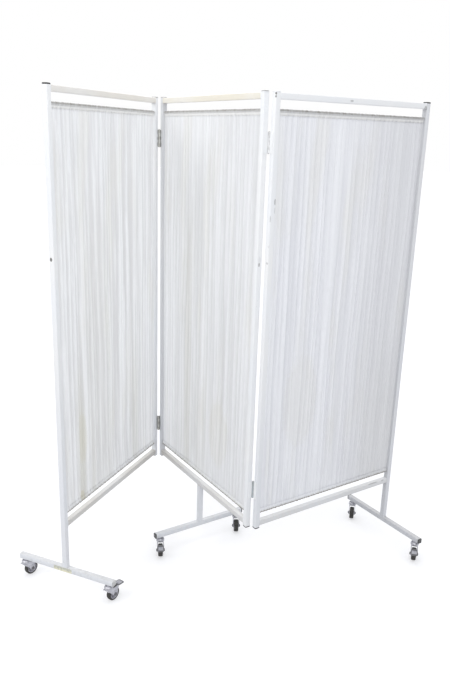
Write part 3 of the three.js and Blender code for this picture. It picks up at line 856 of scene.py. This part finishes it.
def drape(panel):
    """Vertices of one curtain, rows down the sheet and columns across it, and how far its folds stand out"""
    seed = PLEAT_SEEDS[panel]
    rng = np.random.default_rng(40 + seed)
    across = np.linspace(-CURTAIN_HALF, CURTAIN_HALF, CLOTH_COLUMNS)
    path = cloth_path()
    base_y, base_z, round_rod, on_sheet = (column[:, None] for column in path.T)

    def chance(pitch_across, pitch_up):
        return random_field(across, path[:, 1], pitch_across, pitch_up, rng)

    from_top = np.abs(TOP_ROD - SEAM_DROP - base_z)
    from_low = np.abs(base_z - LOW_ROD - SEAM_DROP)
    near = np.minimum(from_top, from_low)
    open_share = np.clip(near / 120, 0, 1)
    drift = 6.0 * chance(62, 480) + 2.4 * chance(28, 260)
    moved = across + drift * open_share
    places, values = pleats(seed)
    main = waves(moved, places, values)
    wide_places, wide_values = gathers(54, rng)
    wide = waves(moved + 11.0 * chance(100, 520) * open_share, wide_places, wide_values)
    swell = np.clip(1 + chance(34, 420), 0.12, 1.8)
    wide_swell = np.clip(1 + 0.8 * chance(80, 460), 0.2, 1.7)
    bloom = 0.4 + 0.6 * np.clip(near / 95, 0, 1) ** 0.8
    fine = 0
    for away, pitch, depth, reach in ((from_top, 8.2, 1.15, 95), (from_low, 8.2, 1.15, 80),
                                      (from_top, 14.5, 0.9, 240), (from_low, 14.5, 0.9, 200)):
        fine = fine + depth * waves(across, *gathers(pitch, rng)) * np.exp(-away / reach)
    slack = chance(130, 520) + 0.5 * chance(60, 260)
    depth = 2.5 * bloom * swell * main + fine + 0.12 * chance(6.5, 240)
    depth += (0.6 + 3.2 * np.clip(near / 200, 0, 1)) * wide_swell * wide + 1.2 * open_share * slack
    depth = 6.3 * np.tanh(depth / 6.3)
    lean = 1.2 * bloom * waves(moved + 5.2, places, values) * on_sheet
    lean *= np.clip((CURTAIN_HALF - np.abs(across)) / 20, 0, 1)
    from_rod = base_z - np.where(base_z > (TOP_ROD + LOW_ROD) / 2, TOP_ROD, LOW_ROD)
    stand_off = round_rod * (0.85 + 0.5 * fine + 0.2 * main) / np.hypot(base_y, from_rod)
    y = base_y + stand_off * base_y - on_sheet * depth
    z = base_z + stand_off * from_rod
    return np.stack([across + lean, y, z], axis=-1), path, depth


def walked(steps):
    """How far along a line each of its points lies, from the steps between them"""
    return np.concatenate([[0], np.cumsum(steps)])


def add_curtain(panel, thread):
    grid, path, depth = drape(panel)
    rows, columns, _ = grid.shape
    at = np.arange(rows * columns).reshape(rows, columns)
    faces = np.stack([at[:-1, :-1], at[1:, :-1], at[1:, 1:], at[:-1, 1:]], axis=-1).reshape(-1, 4)
    cotton = curtain_cloth(panel)
    cloth = make_mesh(f"{panel}_curtain_sheet", grid.reshape(-1, 3), faces.tolist(), [cotton], 180)
    across = walked(np.linalg.norm(np.diff(grid, axis=1), axis=-1).mean(axis=0))
    down = walked(np.linalg.norm(np.diff(path[:, :2], axis=0), axis=-1))
    corners = np.empty(len(cloth.data.loops), int)
    cloth.data.loops.foreach_get("vertex_index", corners)
    uv = np.stack([across[corners % columns], -down[corners // columns]], axis=-1) * MM
    cloth.data.uv_layers.new(name="cloth").data.foreach_set("uv", uv.ravel())
    fold = cloth.data.attributes.new("fold", "FLOAT", "POINT")
    fold.data.foreach_set("value", (0.5 + depth / 12).astype(np.float32).ravel())
    on_panel(cloth, panel, "curtain_cloth", f"{panel}_curtain")
    seam = stitches(panel, grid, thread)
    on_panel(seam, panel, "curtain_cloth")


def stitches(panel, grid, thread):
    """The two sewn seams that close the casings, stitch by stitch, seen in front and behind"""
    made = Parts()
    for row, side in ((FRONT_SEAM_ROW, -1), (BACK_SEAM_ROW, 1)):
        for line in (grid[row], grid[-1 - row]):
            walk = walked(np.linalg.norm(np.diff(line, axis=0), axis=1))
            for start in np.arange(1.0, walk[-1] - 3.0, STITCH_PITCH):
                add_stitch(made, walk, line, start, side)
    return made.object(f"{panel}_seam_stitches", [thread], 60)


def add_stitch(made, walk, line, start, side):
    """One stitch: a thread that comes out of the cloth, lies on it and goes back in"""
    ends = []
    for off, lift in ((0, 0.05), (STITCH_LENGTH / 2, 0.32), (STITCH_LENGTH, 0.05)):
        place = [np.interp(start + off, walk, line[:, axis]) for axis in range(3)]
        ends.append(np.array(place) + (0, side * lift, 0))
    first, middle, last = ends
    points = (first, (first + middle) / 2, middle, (middle + last) / 2, last)
    rings = []
    for point, radius in zip(points, (0.12, 0.22, 0.24, 0.22, 0.12)):
        rings.append([point + (0, y, z) for y, z in circle(radius, 5)])
    made.skin(rings)


# Rods, caps and plugs


def add_rod(panel, which, height, steel):
    rod = Parts()
    end = [(0, -ROD_HALF), (ROD_RADIUS - ROD_EDGE, -ROD_HALF), (ROD_RADIUS, ROD_EDGE - ROD_HALF)]
    rod.lathe(end + mirror(end), 32, along_x(z=height))
    made = rod.object(f"{panel}_{which}_curtain_rod", [steel])
    on_panel(made, panel, "rod_steel", f"{panel}_{which}_rod")


# Tube plug with a domed head, its seat at 0 and its head up: width, corner radius, height
PLUG_RINGS = [
    (15.0, 0.8, -12.0), (16.0, 1.0, -1.0), (16.0, 1.0, 0.3), (18.4, 2.0, 0.3), (19.0, 2.2, 0.7),
    (19.0, 2.2, 3.0), (18.7, 2.4, 3.8), (17.9, 2.6, 4.4), (16.4, 2.8, 4.8), (12.0, 2.8, 4.98),
    (6.0, 2.0, 5.0),
]


def add_plug(panel, node, matrix, material):
    rings = []
    for width, radius, height in PLUG_RINGS:
        rings.append([(x, y, height) for x, y in rounded_box(width, width, radius, 5)])
    plug = Parts()
    plug.skin(rings)
    made = plug.object(node.replace("_cap", "_cover").replace("_plug", "_stopper"), [material], 50)
    on_panel(made, panel, "plug_plastic", node, at=matrix)


def add_plugs(finishes):
    over = Matrix.Rotation(math.pi, 4, "X")
    for panel, foot in FEET.items():
        for side, x in (("left", -POST_PLACE), ("right", POST_PLACE)):
            node = f"{panel}_{side}_post_cap"
            add_plug(panel, node, shift(x, 0, FRAME_TOP), finishes[node])
            node = f"{panel}_{side}_post_plug"
            if node in nodes:
                look = finishes.get(node, finishes["light_plug"])
                add_plug(panel, node, shift(x, 0, POST_BOTTOM) @ over, look)
        look = finishes["light_plug" if panel == "left" else "foot_plug"]
        for side, end in (("near", -1), ("far", 1)):
            node = f"{panel}_foot_{side}_plug"
            if node in nodes:
                turn = Matrix.Rotation(-end * math.pi / 2, 4, "X")
                add_plug(panel, node, shift(foot, end * FOOT_HALF, FOOT_MIDDLE) @ turn, look)


# Butt hinges

FOLD_PIVOTS = {"left": (-0.455459, -0.019809), "right": (0.231541, 0.007091)}
HINGE_HEIGHT = 64.0
HINGE_PLACE = 147.0
HINGE_PITCH = HINGE_HEIGHT / 5
KNUCKLE_GAP = 0.2
BARREL = 3.55
BORE = 2.05
PIN = 1.75
LEAF_NEAR = 0.3
LEAF_FAR = 1.7
LEAF_START = BARREL + 0.4
LEAF_END = 18.95
LEAF_CORNER = 1.2


def leaf_parts(knuckles, side):
    """Leaf plate and its knuckles about the pin, post at +Y"""
    parts = Parts()
    corner = [(LEAF_START, 0), (LEAF_END - LEAF_CORNER, 0), (LEAF_END, LEAF_CORNER)]
    parts.slab([corner + mirror(corner, HINGE_HEIGHT / 2)], LEAF_NEAR, LEAF_FAR, along_x(side=side))
    near, far = (math.degrees(math.acos(face / BARREL)) for face in (LEAF_NEAR, LEAF_FAR))
    root = LEAF_START + 0.6
    barrel = [(LEAF_NEAR, root), (LEAF_NEAR, math.sqrt(BARREL ** 2 - LEAF_NEAR ** 2))]
    barrel += arc(0, 0, BARREL, near + 6, 360 + far, 30) + [(LEAF_FAR, root)]
    for index in knuckles:
        low = 0 if index == 0 else index * HINGE_PITCH + KNUCKLE_GAP
        high = HINGE_HEIGHT if index == 4 else (index + 1) * HINGE_PITCH - KNUCKLE_GAP
        parts.slab([barrel, circle(BORE)], low, high, lambda u, v, w: (side * u, v, w))
    return parts


def pin_parts():
    """Hinge pin with a rivet head at each end"""
    parts = Parts()
    head = [(0, -1.7), (1.4, -1.66), (2.3, -1.4), (2.8, -0.9), (2.9, -0.5)]
    head += [(2.75, -SEAT_GAP), (PIN, -SEAT_GAP)]
    parts.lathe(head + mirror(head, HINGE_HEIGHT / 2), 28)
    return parts


def add_hinges(finishes):
    for name, fixed_turn in (("left", 0), ("right", 180)):
        _, fold, wing_body = PANELS[name]
        for place, middle in (("bottom", POST_BOTTOM + HINGE_PLACE), ("top", FRAME_TOP - HINGE_PLACE)):
            stem = f"{name}_{place}_hinge"
            base = (*FOLD_PIVOTS[name], (middle - HINGE_HEIGHT / 2) * MM)
            fixed = stand(base, fixed_turn)
            long = leaf_parts([0, 2, 4], 1).object(f"{stem}_long_plate", [finishes[stem]])
            placed(bevelled(long, 0.25), fixed, "middle_panel", "hinge_steel", f"{stem}_long_leaf")
            look = finishes.get(f"{name}_short_leaf", finishes[stem])
            short = leaf_parts([1, 3], -1).object(f"{stem}_short_plate", [look])
            turned = stand(base, fixed_turn + fold)
            placed(bevelled(short, 0.25), turned, wing_body, "hinge_steel", f"{stem}_short_leaf")
            pin = pin_parts().object(f"{stem}_rivet_pin", [finishes["pin"]])
            placed(pin, fixed, "middle_panel", "hinge_steel", f"{stem}_pin")


# Castors

# Place on the floor in metres, turn in degrees
CASTORS = {
    "left_near": ((0.06521, -0.48126), 113.0),
    "left_far": ((-0.23112, -0.68569), 110.0),
    "middle_near": ((-0.11196, -0.18636), 335.0),
    "middle_far": ((-0.11196, 0.17364), 330.0),
    "right_near": ((0.41791, 0.68458), 312.0),
    "right_far": ((0.05793, 0.68081), 315.0),
}
TRAIL = 20.0
TYRE_RADIUS = 24.786
AXLE_HEIGHT = TYRE_RADIUS
CROWN_TOP = 55.186
RACE_TOP = 61.786
MOUNT_BOTTOM = RACE_TOP + SEAT_GAP
COLLAR_BOTTOM = 67.486
PIVOT_BACK = 33.0
PIVOT_HEIGHT = 51.601
LEG_MIDDLE = 12.0
LEG_POINTS = 9
BEND = 2.0
SHEET = 2.0
FORK_EAR = 8.5

# How far a fork's sides reach behind its pivot, with ears for a pedal's rivet and without
BRAKED_REACH = 37.0
PLAIN_REACH = 29.0

# Half profiles of the wheel's tyre and hub: radius, place along the axle
TYRE = [
    (18.4, -6.9), (18.7, -8.3), (19.4, -8.85), (20.6, -9.0), (21.9, -8.9), (23.1, -8.35), (24.1, -7.2),
    (24.65, -5.4), (TYRE_RADIUS, -3.4),
]
HUB = [
    (3.15, -10.3), (3.5, -10.5), (7.4, -10.5), (7.9, -10.2), (8.1, -9.6), (8.3, -4.4), (8.9, -3.7),
    (15.0, -3.5), (16.0, -4.0), (16.5, -6.8), (17.0, -8.0), (17.8, -8.3), (18.4, -7.9), (18.55, -6.6),
]


def wheel_parts():
    """Two-part wheel about its axle along Y: solid tyre over a moulded hub with ribs"""
    parts = Parts()
    parts.lathe(TYRE + [(TYRE_RADIUS, 0)] + mirror(TYRE) + [(18.2, 0), TYRE[0]], 72, along_y())
    parts.lathe(HUB + mirror(HUB) + HUB[:1], 72, along_y(), 1)
    for rib in range(6):
        for side in (-1, 1):
            add_rib(parts, math.radians(60 * rib + 12), side)
    return parts


def add_rib(parts, turn, side):
    """A thin spoke on the hub's web, from boss to rim"""
    cosine, sine = math.cos(turn), math.sin(turn)

    def spot(u, v, w):
        return (u * cosine - v * sine, side * w, u * sine + v * cosine)

    parts.slab([[(7.9, -0.6), (16.6, -0.6), (16.6, 0.6), (7.9, 0.6)]], 3.2, 6.4, spot, 1)


def fork_outline(reach):
    """Lower edge of the fork's side from front to back, the ear ending at reach: x and height"""
    front = CROWN_TOP - 4.4
    round_end = TRAIL + FORK_EAR
    points = [(-16.0, CROWN_TOP - 2.6), (-15.2, CROWN_TOP - 3.6), (-14.0, front)]
    for share in (step / 12 for step in range(1, 13)):
        x = -14 + (TRAIL - FORK_EAR + 14) * share
        points.append((x, front + (AXLE_HEIGHT - front) * share ** 1.12))
    points += arc(TRAIL, AXLE_HEIGHT, FORK_EAR, 180, 360, 16)[1:]
    ear_low = CROWN_TOP - 8.0
    for share in (0.2, 0.4, 0.6, 0.8, 1.0):
        x = round_end + (reach - 3.49 - round_end) * share
        points.append((x, AXLE_HEIGHT + (ear_low - 3.5 - AXLE_HEIGHT) * share))
    return points + [(reach - 1.6, ear_low - 2.6), (reach - 0.5, ear_low - 1.3), (reach, ear_low + 0.4)]


def fork_parts(reach):
    """Legs and crown of the pressed fork as one bent sheet, its mid-surface"""
    vertices, faces, rows = [], [], []
    for x, low in fork_outline(reach):
        crowned = x <= TRAIL - FORK_EAR + 0.5
        corner = min(max(x - reach + 3, 0), 3)
        top = CROWN_TOP - SHEET / 2 - 0.6 * max(-14 - x, 0) - (3 - math.sqrt(9 - corner ** 2))
        top -= BEND if crowned else 0
        half = [(LEG_MIDDLE, low + (top - low) * part / (LEG_POINTS - 1)) for part in range(LEG_POINTS)]
        if crowned:
            half += [arc(LEG_MIDDLE - BEND, top, BEND, turn, turn, 1)[0] for turn in (22, 45, 68, 90)]
            half += [(y, top + BEND) for y in (7.5, 5.0, 2.5, 0.0)]
        line = [(x, y, z) for y, z in half] + [(x, -y, z) for y, z in reversed(half) if y > 0]
        rows.append(range(len(vertices), len(vertices) + len(line)))
        vertices += line
    for now, after in zip(rows, rows[1:]):
        strips = [(now, after)]
        if len(after) == 2 * LEG_POINTS or len(now) == 2 * LEG_POINTS:
            strips = [(now[:LEG_POINTS], after[:LEG_POINTS]), (now[-LEG_POINTS:], after[-LEG_POINTS:])]
        for one, two in strips:
            faces += [(one[at], one[at + 1], two[at + 1], two[at]) for at in range(len(one) - 1)]
    return vertices, faces


def add_fork(name, matrix, metals):
    braked = name.endswith("near")
    vertices, faces = fork_parts(BRAKED_REACH if braked else PLAIN_REACH)
    sheet = make_mesh(f"{name}_fork_pressing", vertices, faces, metals[:1], 60)
    thick = sheet.modifiers.new("sheet", "SOLIDIFY")
    thick.thickness = SHEET * MM
    thick.offset = 0
    placed(bevelled(sheet, 0.35, 50), matrix, f"{name}_swivel", "castor_zinc", f"{name}_castor_fork")
    race = Parts()
    low = CROWN_TOP - 0.2
    profile = [
        (9.5, low), (15.2, low), (15.9, low + 0.7), (16.0, low + 1.6), (16.0, RACE_TOP - 1.2),
        (15.6, RACE_TOP - 0.3), (14.9, RACE_TOP), (13.4, RACE_TOP), (12.6, RACE_TOP - 0.3),
        (12.1, RACE_TOP - 1.0), (11.6, low + 1.8), (9.5, low + 1.5), (9.5, low),
    ]
    race.lathe(profile, 56)
    add_axle(race)
    if braked:
        add_rivet(race)
    placed(race.object(f"{name}_race_and_axle", metals), matrix, f"{name}_swivel", "castor_zinc")


def add_axle(parts):
    """Axle with two washers, a hexagon nut on one side and a round head on the other"""
    spot = along_y(TRAIL, AXLE_HEIGHT)
    parts.lathe([(0, -13.2), (2.9, -13.2), (2.9, 16.9), (2.3, 17.3), (0, 17.3)], 28, spot, 1)
    washer = [(2.95, 13.02), (6.3, 13.02), (6.5, 13.2), (6.5, 13.8), (6.3, 14.0), (2.95, 14.0), (2.95, 13.02)]
    parts.lathe(washer, 32, spot, 1)
    parts.lathe(mirror(washer), 32, spot, 1)
    dome = [(0, -17.2), (1.8, -17.1), (3.4, -16.6), (4.7, -15.8), (5.5, -14.8), (5.6, -14.0), (0, -14.0)]
    parts.lathe(dome, 32, spot, 1)
    parts.slab([circle(5.55, 6, 10), circle(2.95)], 14.0, 16.7, spot, 1)


def add_rivet(parts):
    """Pedal rivet across the ears"""
    head = [(0, 14.3), (1.2, 14.2), (2.1, 13.8), (2.5, 13.2), (2.5, 13.0), (1.45, 13.0)]
    parts.lathe(head + mirror(head), 24, along_y(PIVOT_BACK, PIVOT_HEIGHT))


def add_mount(name, panel, matrix, metal):
    """Fixed half of the swivel: bearing cap, hexagon collar, stem and kingpin"""
    parts = Parts()
    under_crown = CROWN_TOP - SHEET - SEAT_GAP
    stem_top = FOOT_TOP - 6.0
    turned = [
        (0, 51.3), (4.6, 51.3), (6.1, 51.7), (6.5, 52.2), (6.3, under_crown), (4, under_crown),
        (4, MOUNT_BOTTOM), (15.3, MOUNT_BOTTOM), (15.9, MOUNT_BOTTOM + 0.4), (16, MOUNT_BOTTOM + 0.9),
        (15.7, MOUNT_BOTTOM + 1.6), (14.6, MOUNT_BOTTOM + 2.5), (13.2, MOUNT_BOTTOM + 4.0),
        (12.3, COLLAR_BOTTOM - 0.5), (11.2, COLLAR_BOTTOM), (4.8, COLLAR_BOTTOM),
        (4.8, stem_top - 0.586), (4.2, stem_top), (0, stem_top),
    ]
    parts.lathe(turned, 56)
    parts.slab([circle(8.8, 6)], COLLAR_BOTTOM - 0.2, FOOT_BOTTOM - SEAT_GAP)
    made = bevelled(parts.object(f"{name}_swivel_head", [metal], 30), 0.3, 40)
    placed(made, matrix, PANELS[panel][2], "castor_zinc", f"{name}_castor_mount")


# The pedal's pressed plate, along X
PEDAL_START = PIVOT_BACK + 3.0
PEDAL_END = 67.0
PEDAL_NECK = 37.5
PEDAL_HALF = 10.5
PEDAL_DROOP = 3.0
PEDAL_STEPS = 40
PEDAL_PARTS = 15


def plate_row(x):
    """Points across the top of the pedal's plate, on one of its two low ridges where x lies on one"""
    run = max(0.0, (x - PEDAL_NECK) / (PEDAL_END - PEDAL_NECK))
    top = PIVOT_HEIGHT + 1.0 - PEDAL_DROOP * run
    half = PEDAL_HALF if x < PEDAL_NECK + 0.1 else 13.0 - 3.6 * max(0, (x - 61) / 6) ** 2
    ridge = 0.55 * max(0.0, math.sin((x - 44) / 4 * math.pi)) if 44 < x < 60 else 0.0
    sides = [-1 + 2 * part / PEDAL_PARTS for part in range(PEDAL_PARTS + 1)]
    return [(x, side * half, top + ridge * (1 - abs(side) ** 6)) for side in sides]


def add_plate(parts):
    """The pedal's pressed plate: top, underside and the rim between them"""
    upper = [point for x in np.linspace(PEDAL_START, PEDAL_END, PEDAL_STEPS + 1) for point in plate_row(x)]
    lower = [(x, y, z - SHEET) for x, y, z in upper]
    count = len(upper)
    at = np.arange(count).reshape(PEDAL_STEPS + 1, PEDAL_PARTS + 1)
    top = np.stack([at[:-1, :-1], at[:-1, 1:], at[1:, 1:], at[1:, :-1]], axis=-1).reshape(-1, 4)
    rim = np.concatenate([at[0], at[1:, -1], at[-1, -2::-1], at[-2:0:-1, 0]]).tolist()
    faces = top.tolist() + (count + top[:, [0, 3, 2, 1]]).tolist()
    faces += [(one, two, count + two, count + one) for one, two in zip(rim, rim[1:] + rim[:1])]
    parts.add(upper + lower, faces)


def add_pedal(name, matrix, metal):
    """Brake pedal: hub on its rivet, pressed plate, lip turned down at the end"""
    parts = Parts()
    parts.slab([circle(3.4), circle(1.8)], -PEDAL_HALF, PEDAL_HALF, along_y(PIVOT_BACK, PIVOT_HEIGHT))
    add_plate(parts)
    top = PIVOT_HEIGHT + 1.0 - PEDAL_DROOP
    lip = [(-9.4, top - 0.4), (-9.4, top - 3.5), (-8.2, top - 5.0)]
    lip += [(-y, z) for y, z in reversed(lip)]
    parts.slab([lip], PEDAL_END - 2.0, PEDAL_END - 0.05, along_x())
    made = bevelled(parts.object(f"{name}_pedal_plate", [metal]), 0.35, 40)
    placed(made, matrix, f"{name}_pedal", "castor_zinc", f"{name}_brake_pedal")


def add_castors(metals, worn_metal, tyre, hub):
    for name, (place, turn) in CASTORS.items():
        panel = name.split("_")[0]
        matrix = stand((*place, 0), turn)
        add_fork(name, matrix, metals)
        add_mount(name, panel, stand((*place, 0), PANELS[panel][1]), metals[0])
        wheel = wheel_parts().object(f"{name}_two_part_wheel", [tyre, hub], 40)
        axle = matrix @ shift(TRAIL, 0, AXLE_HEIGHT)
        placed(wheel, axle, f"{name}_wheel", "wheel_rubber", f"{name}_castor_wheel")
        if name.endswith("near"):
            add_pedal(name, matrix, worn_metal)


# Frames: CAD nodes with rounded shading and enamel, and weld beads at the joints


def dress_frame(panel, paint):
    node = nodes[f"{panel}_frame"]
    mesh = node.data
    stale = mesh.attributes.get("custom_normal")
    if stale:
        mesh.attributes.remove(stale)
    mark_sharp(mesh, 40)
    weld = node.modifiers.new("weld", "WELD")
    weld.merge_threshold = 0.00002
    mesh.materials.clear()
    mesh.materials.append(paint)


def mark_sharp(mesh, angle):
    """Smooth faces, with the edges sharper than the angle marked on both of their copies"""
    mesh.shade_smooth()
    places = [tuple(round(value * 1e5) for value in vertex.co) for vertex in mesh.vertices]
    normals = {}
    for polygon in mesh.polygons:
        for one, two in polygon.edge_keys:
            normals.setdefault(frozenset((places[one], places[two])), []).append(polygon.normal.copy())
    limit = math.cos(math.radians(angle))
    sharp = np.zeros(len(mesh.edges), bool)
    for edge in mesh.edges:
        found = normals.get(frozenset(places[end] for end in edge.vertices), [])
        sharp[edge.index] = len(found) != 2 or found[0].dot(found[1]) < limit
    layer = mesh.attributes.get("sharp_edge") or mesh.attributes.new("sharp_edge", "BOOLEAN", "EDGE")
    layer.data.foreach_set("value", sharp)


def add_bead(parts, spot, rng):
    """Weld bead round the end of a square tube, where it meets another"""
    path = rounded_box(TUBE + 0.3, TUBE + 0.3, 2.2, 3)
    dense = []
    for (ax, ay), (bx, by) in zip(path, path[1:] + path[:1]):
        steps = max(1, int(math.hypot(bx - ax, by - ay) / 0.9))
        dense += [(ax + (bx - ax) * k / steps, ay + (by - ay) * k / steps) for k in range(steps)]
    rings = []
    for at, (u, v) in enumerate(dense):
        away = math.hypot(u, v)
        radius = 1.15 + 0.22 * math.sin(at * 1.9) + rng.uniform(-0.12, 0.12)
        rings.append([spot(u + u / away * off, v + v / away * off, lift) for off, lift in circle(radius, 7)])
    parts.skin(rings, looped=True)


def add_beads(panel, foot, paint):
    rng = np.random.default_rng(7)
    parts = Parts()
    for height in (RAIL_BOTTOM + TUBE / 2, FRAME_TOP - TUBE / 2):
        for side in (-1, 1):
            add_bead(parts, along_x(side * CLEAR_HALF, height), rng)
    add_bead(parts, lambda u, v, w: (foot + u, v, FOOT_TOP + w), rng)
    if foot == 0:
        add_bead(parts, lambda u, v, w: (u, v, RAIL_BOTTOM + w), rng)
    on_panel(parts.object(f"{panel}_weld_beads", [paint], 180), panel, "frame_paint")


LABEL_LENGTH = 77.0
LABEL_PLACE = 8.5
LABEL_THICK = 0.22


def add_label(film):
    """Bare label on the outer side of the left foot bar"""
    side = POST_PLACE + TUBE / 2
    outline = rounded_box(LABEL_LENGTH, TUBE - 2.4, 2.0, 4, (LABEL_PLACE, FOOT_MIDDLE))
    parts = Parts()
    parts.slab([outline], side, side + LABEL_THICK, along_x(side=-1))
    on_panel(parts.object("left_foot_label", [film]), "left", "frame_paint")


# Stage

FLOOR_HALF = 30000


def add_stage():
    corners = [(side * FLOOR_HALF, end * FLOOR_HALF, 0) for side, end in ((-1, -1), (1, -1), (1, 1), (-1, 1))]
    made = Finish("floor_pale", {"Roughness": 0.85, "Specular IOR Level": 0.2})
    made.set("Base Color", (0.56, 0.56, 0.57))
    made.set("Emission Color", (1, 1, 1))
    away = made.vector("LENGTH", made.coords(), output="Value")
    made.set("Emission Strength", made.seen() * away.span(0.9, 3.2, 0.46, 0.57))
    make_mesh("floor", corners, [(0, 1, 2, 3)], [made.material])


def add_world():
    world = bpy.data.worlds.new("studio")
    bpy.context.scene.world = world
    world.use_nodes = True
    studio = Network(world.node_tree)
    back = studio.tree.nodes["Background"]
    studio.feed(back.inputs["Color"], studio.mix(studio.seen(), (0.84, 0.855, 0.885), (1, 1, 1)))
    back.inputs["Strength"].default_value = 1.0


# Soft round lamps, turned to the object's middle: name, place, size, watts, colour
LAMPS = [
    ("left", (-0.1, -3.0, 2.8), 1.6, 26, (1.0, 0.995, 0.99)),
    ("front", (2.2, -1.0, 2.4), 1.6, 12, (0.985, 0.99, 1.0)),
    ("top", (0.3, -0.2, 3.4), 2.0, 15, (1.0, 1.0, 1.0)),
    ("behind", (-2.2, 1.0, 2.6), 2.0, 17, (1.0, 1.0, 1.0)),
]


def add_lamps():
    for name, place, size, watts, colour in LAMPS:
        light = bpy.data.lights.new(name, "AREA")
        light.shape = "DISK"
        light.size = size
        light.energy = watts
        light.color = colour
        lamp = in_scene(name, light)
        lamp.location = place
        lamp.rotation_mode = "QUATERNION"
        lamp.rotation_quaternion = (Vector(place) - Vector((0, 0, 1.1))).to_track_quat("Z", "Y")
        lamp.visible_camera = False


def add_camera():
    """The camera fitted to the photograph"""
    right = Vector((0.53461614, 0.84456907, 0.02981068))
    forward = Vector((-0.80598164, 0.52016263, -0.28253219))
    lens = bpy.data.cameras.new("view")
    lens.lens = 36.469
    lens.sensor_width = 36
    lens.clip_start = 0.05
    lens.clip_end = 200
    camera = in_scene("view", lens)
    axes = Matrix((right, right.cross(forward), -forward)).transposed().to_4x4()
    camera.matrix_world = Matrix.Translation((2.01333643, -1.28146922, 1.60478165)) @ axes
    bpy.context.scene.camera = camera


add_camera()
bpy.context.scene.view_settings.view_transform = "Standard"

bright_steel = rod_steel()
thread = thread_cotton()
for panel in PANELS:
    add_rod(panel, "top", TOP_ROD, bright_steel)
    add_rod(panel, "bottom", LOW_ROD, bright_steel)
    add_curtain(panel, thread)

black_plastic = moulded("plug_black_plastic", (0.012, 0.012, 0.013), (0.03, 0.03, 0.032), 0.32)
grey_plastic = moulded("plug_grey_plastic", (0.50, 0.50, 0.49), (0.60, 0.60, 0.59), 0.4)
dark_plastic = moulded("plug_dark_plastic", (0.05, 0.05, 0.052), (0.09, 0.09, 0.09), 0.4)
add_plugs({
    "left_left_post_cap": black_plastic,
    "left_right_post_cap": grey_plastic,
    "middle_left_post_cap": grey_plastic,
    "middle_right_post_cap": rubbed_cap(),
    "right_left_post_cap": enamel("painted_cap_enamel"),
    "right_right_post_cap": black_plastic,
    "middle_right_post_plug": dark_plastic,
    "right_left_post_plug": black_plastic,
    "light_plug": grey_plastic,
    "foot_plug": dark_plastic,
})
add_hinges({
    "left_top_hinge": hinge_steel("hinge_light_olive_steel", (0.50, 0.50, 0.455), (0.66, 0.655, 0.61)),
    "left_bottom_hinge": hinge_steel("hinge_olive_steel", (0.44, 0.435, 0.40), (0.60, 0.59, 0.55)),
    "right_top_hinge": worn_hinge("hinge_painted", 0.6, 0.72, 0.35),
    "right_bottom_hinge": worn_hinge("hinge_painted_worn", 0.0, 0.2, 0.5),
    "left_short_leaf": hinge_steel("hinge_rubbed_paint", (0.58, 0.58, 0.55), (0.74, 0.74, 0.71)),
    "pin": hinge_steel("hinge_bare_steel", (0.33, 0.33, 0.33), (0.52, 0.52, 0.51)),
})
hub_plastic = moulded("hub_grey_plastic", (0.48, 0.47, 0.53), (0.63, 0.62, 0.68), 0.42, recess_shade=0.6)
dark_steel = hinge_steel("axle_dark_steel", (0.08, 0.08, 0.085), (0.2, 0.2, 0.21))
zinc_plate = zinc("castor_zinc_plate")
add_castors([zinc_plate, dark_steel], zinc("pedal_zinc_plate", True), tyre_rubber(), hub_plastic)
for panel, foot in FEET.items():
    dress_frame(panel, enamel(f"{panel}_frame_enamel", panel))
    add_beads(panel, foot, enamel(f"{panel}_bead_enamel", panel, True))
add_label(label_film())

add_stage()
add_world()
add_lamps()
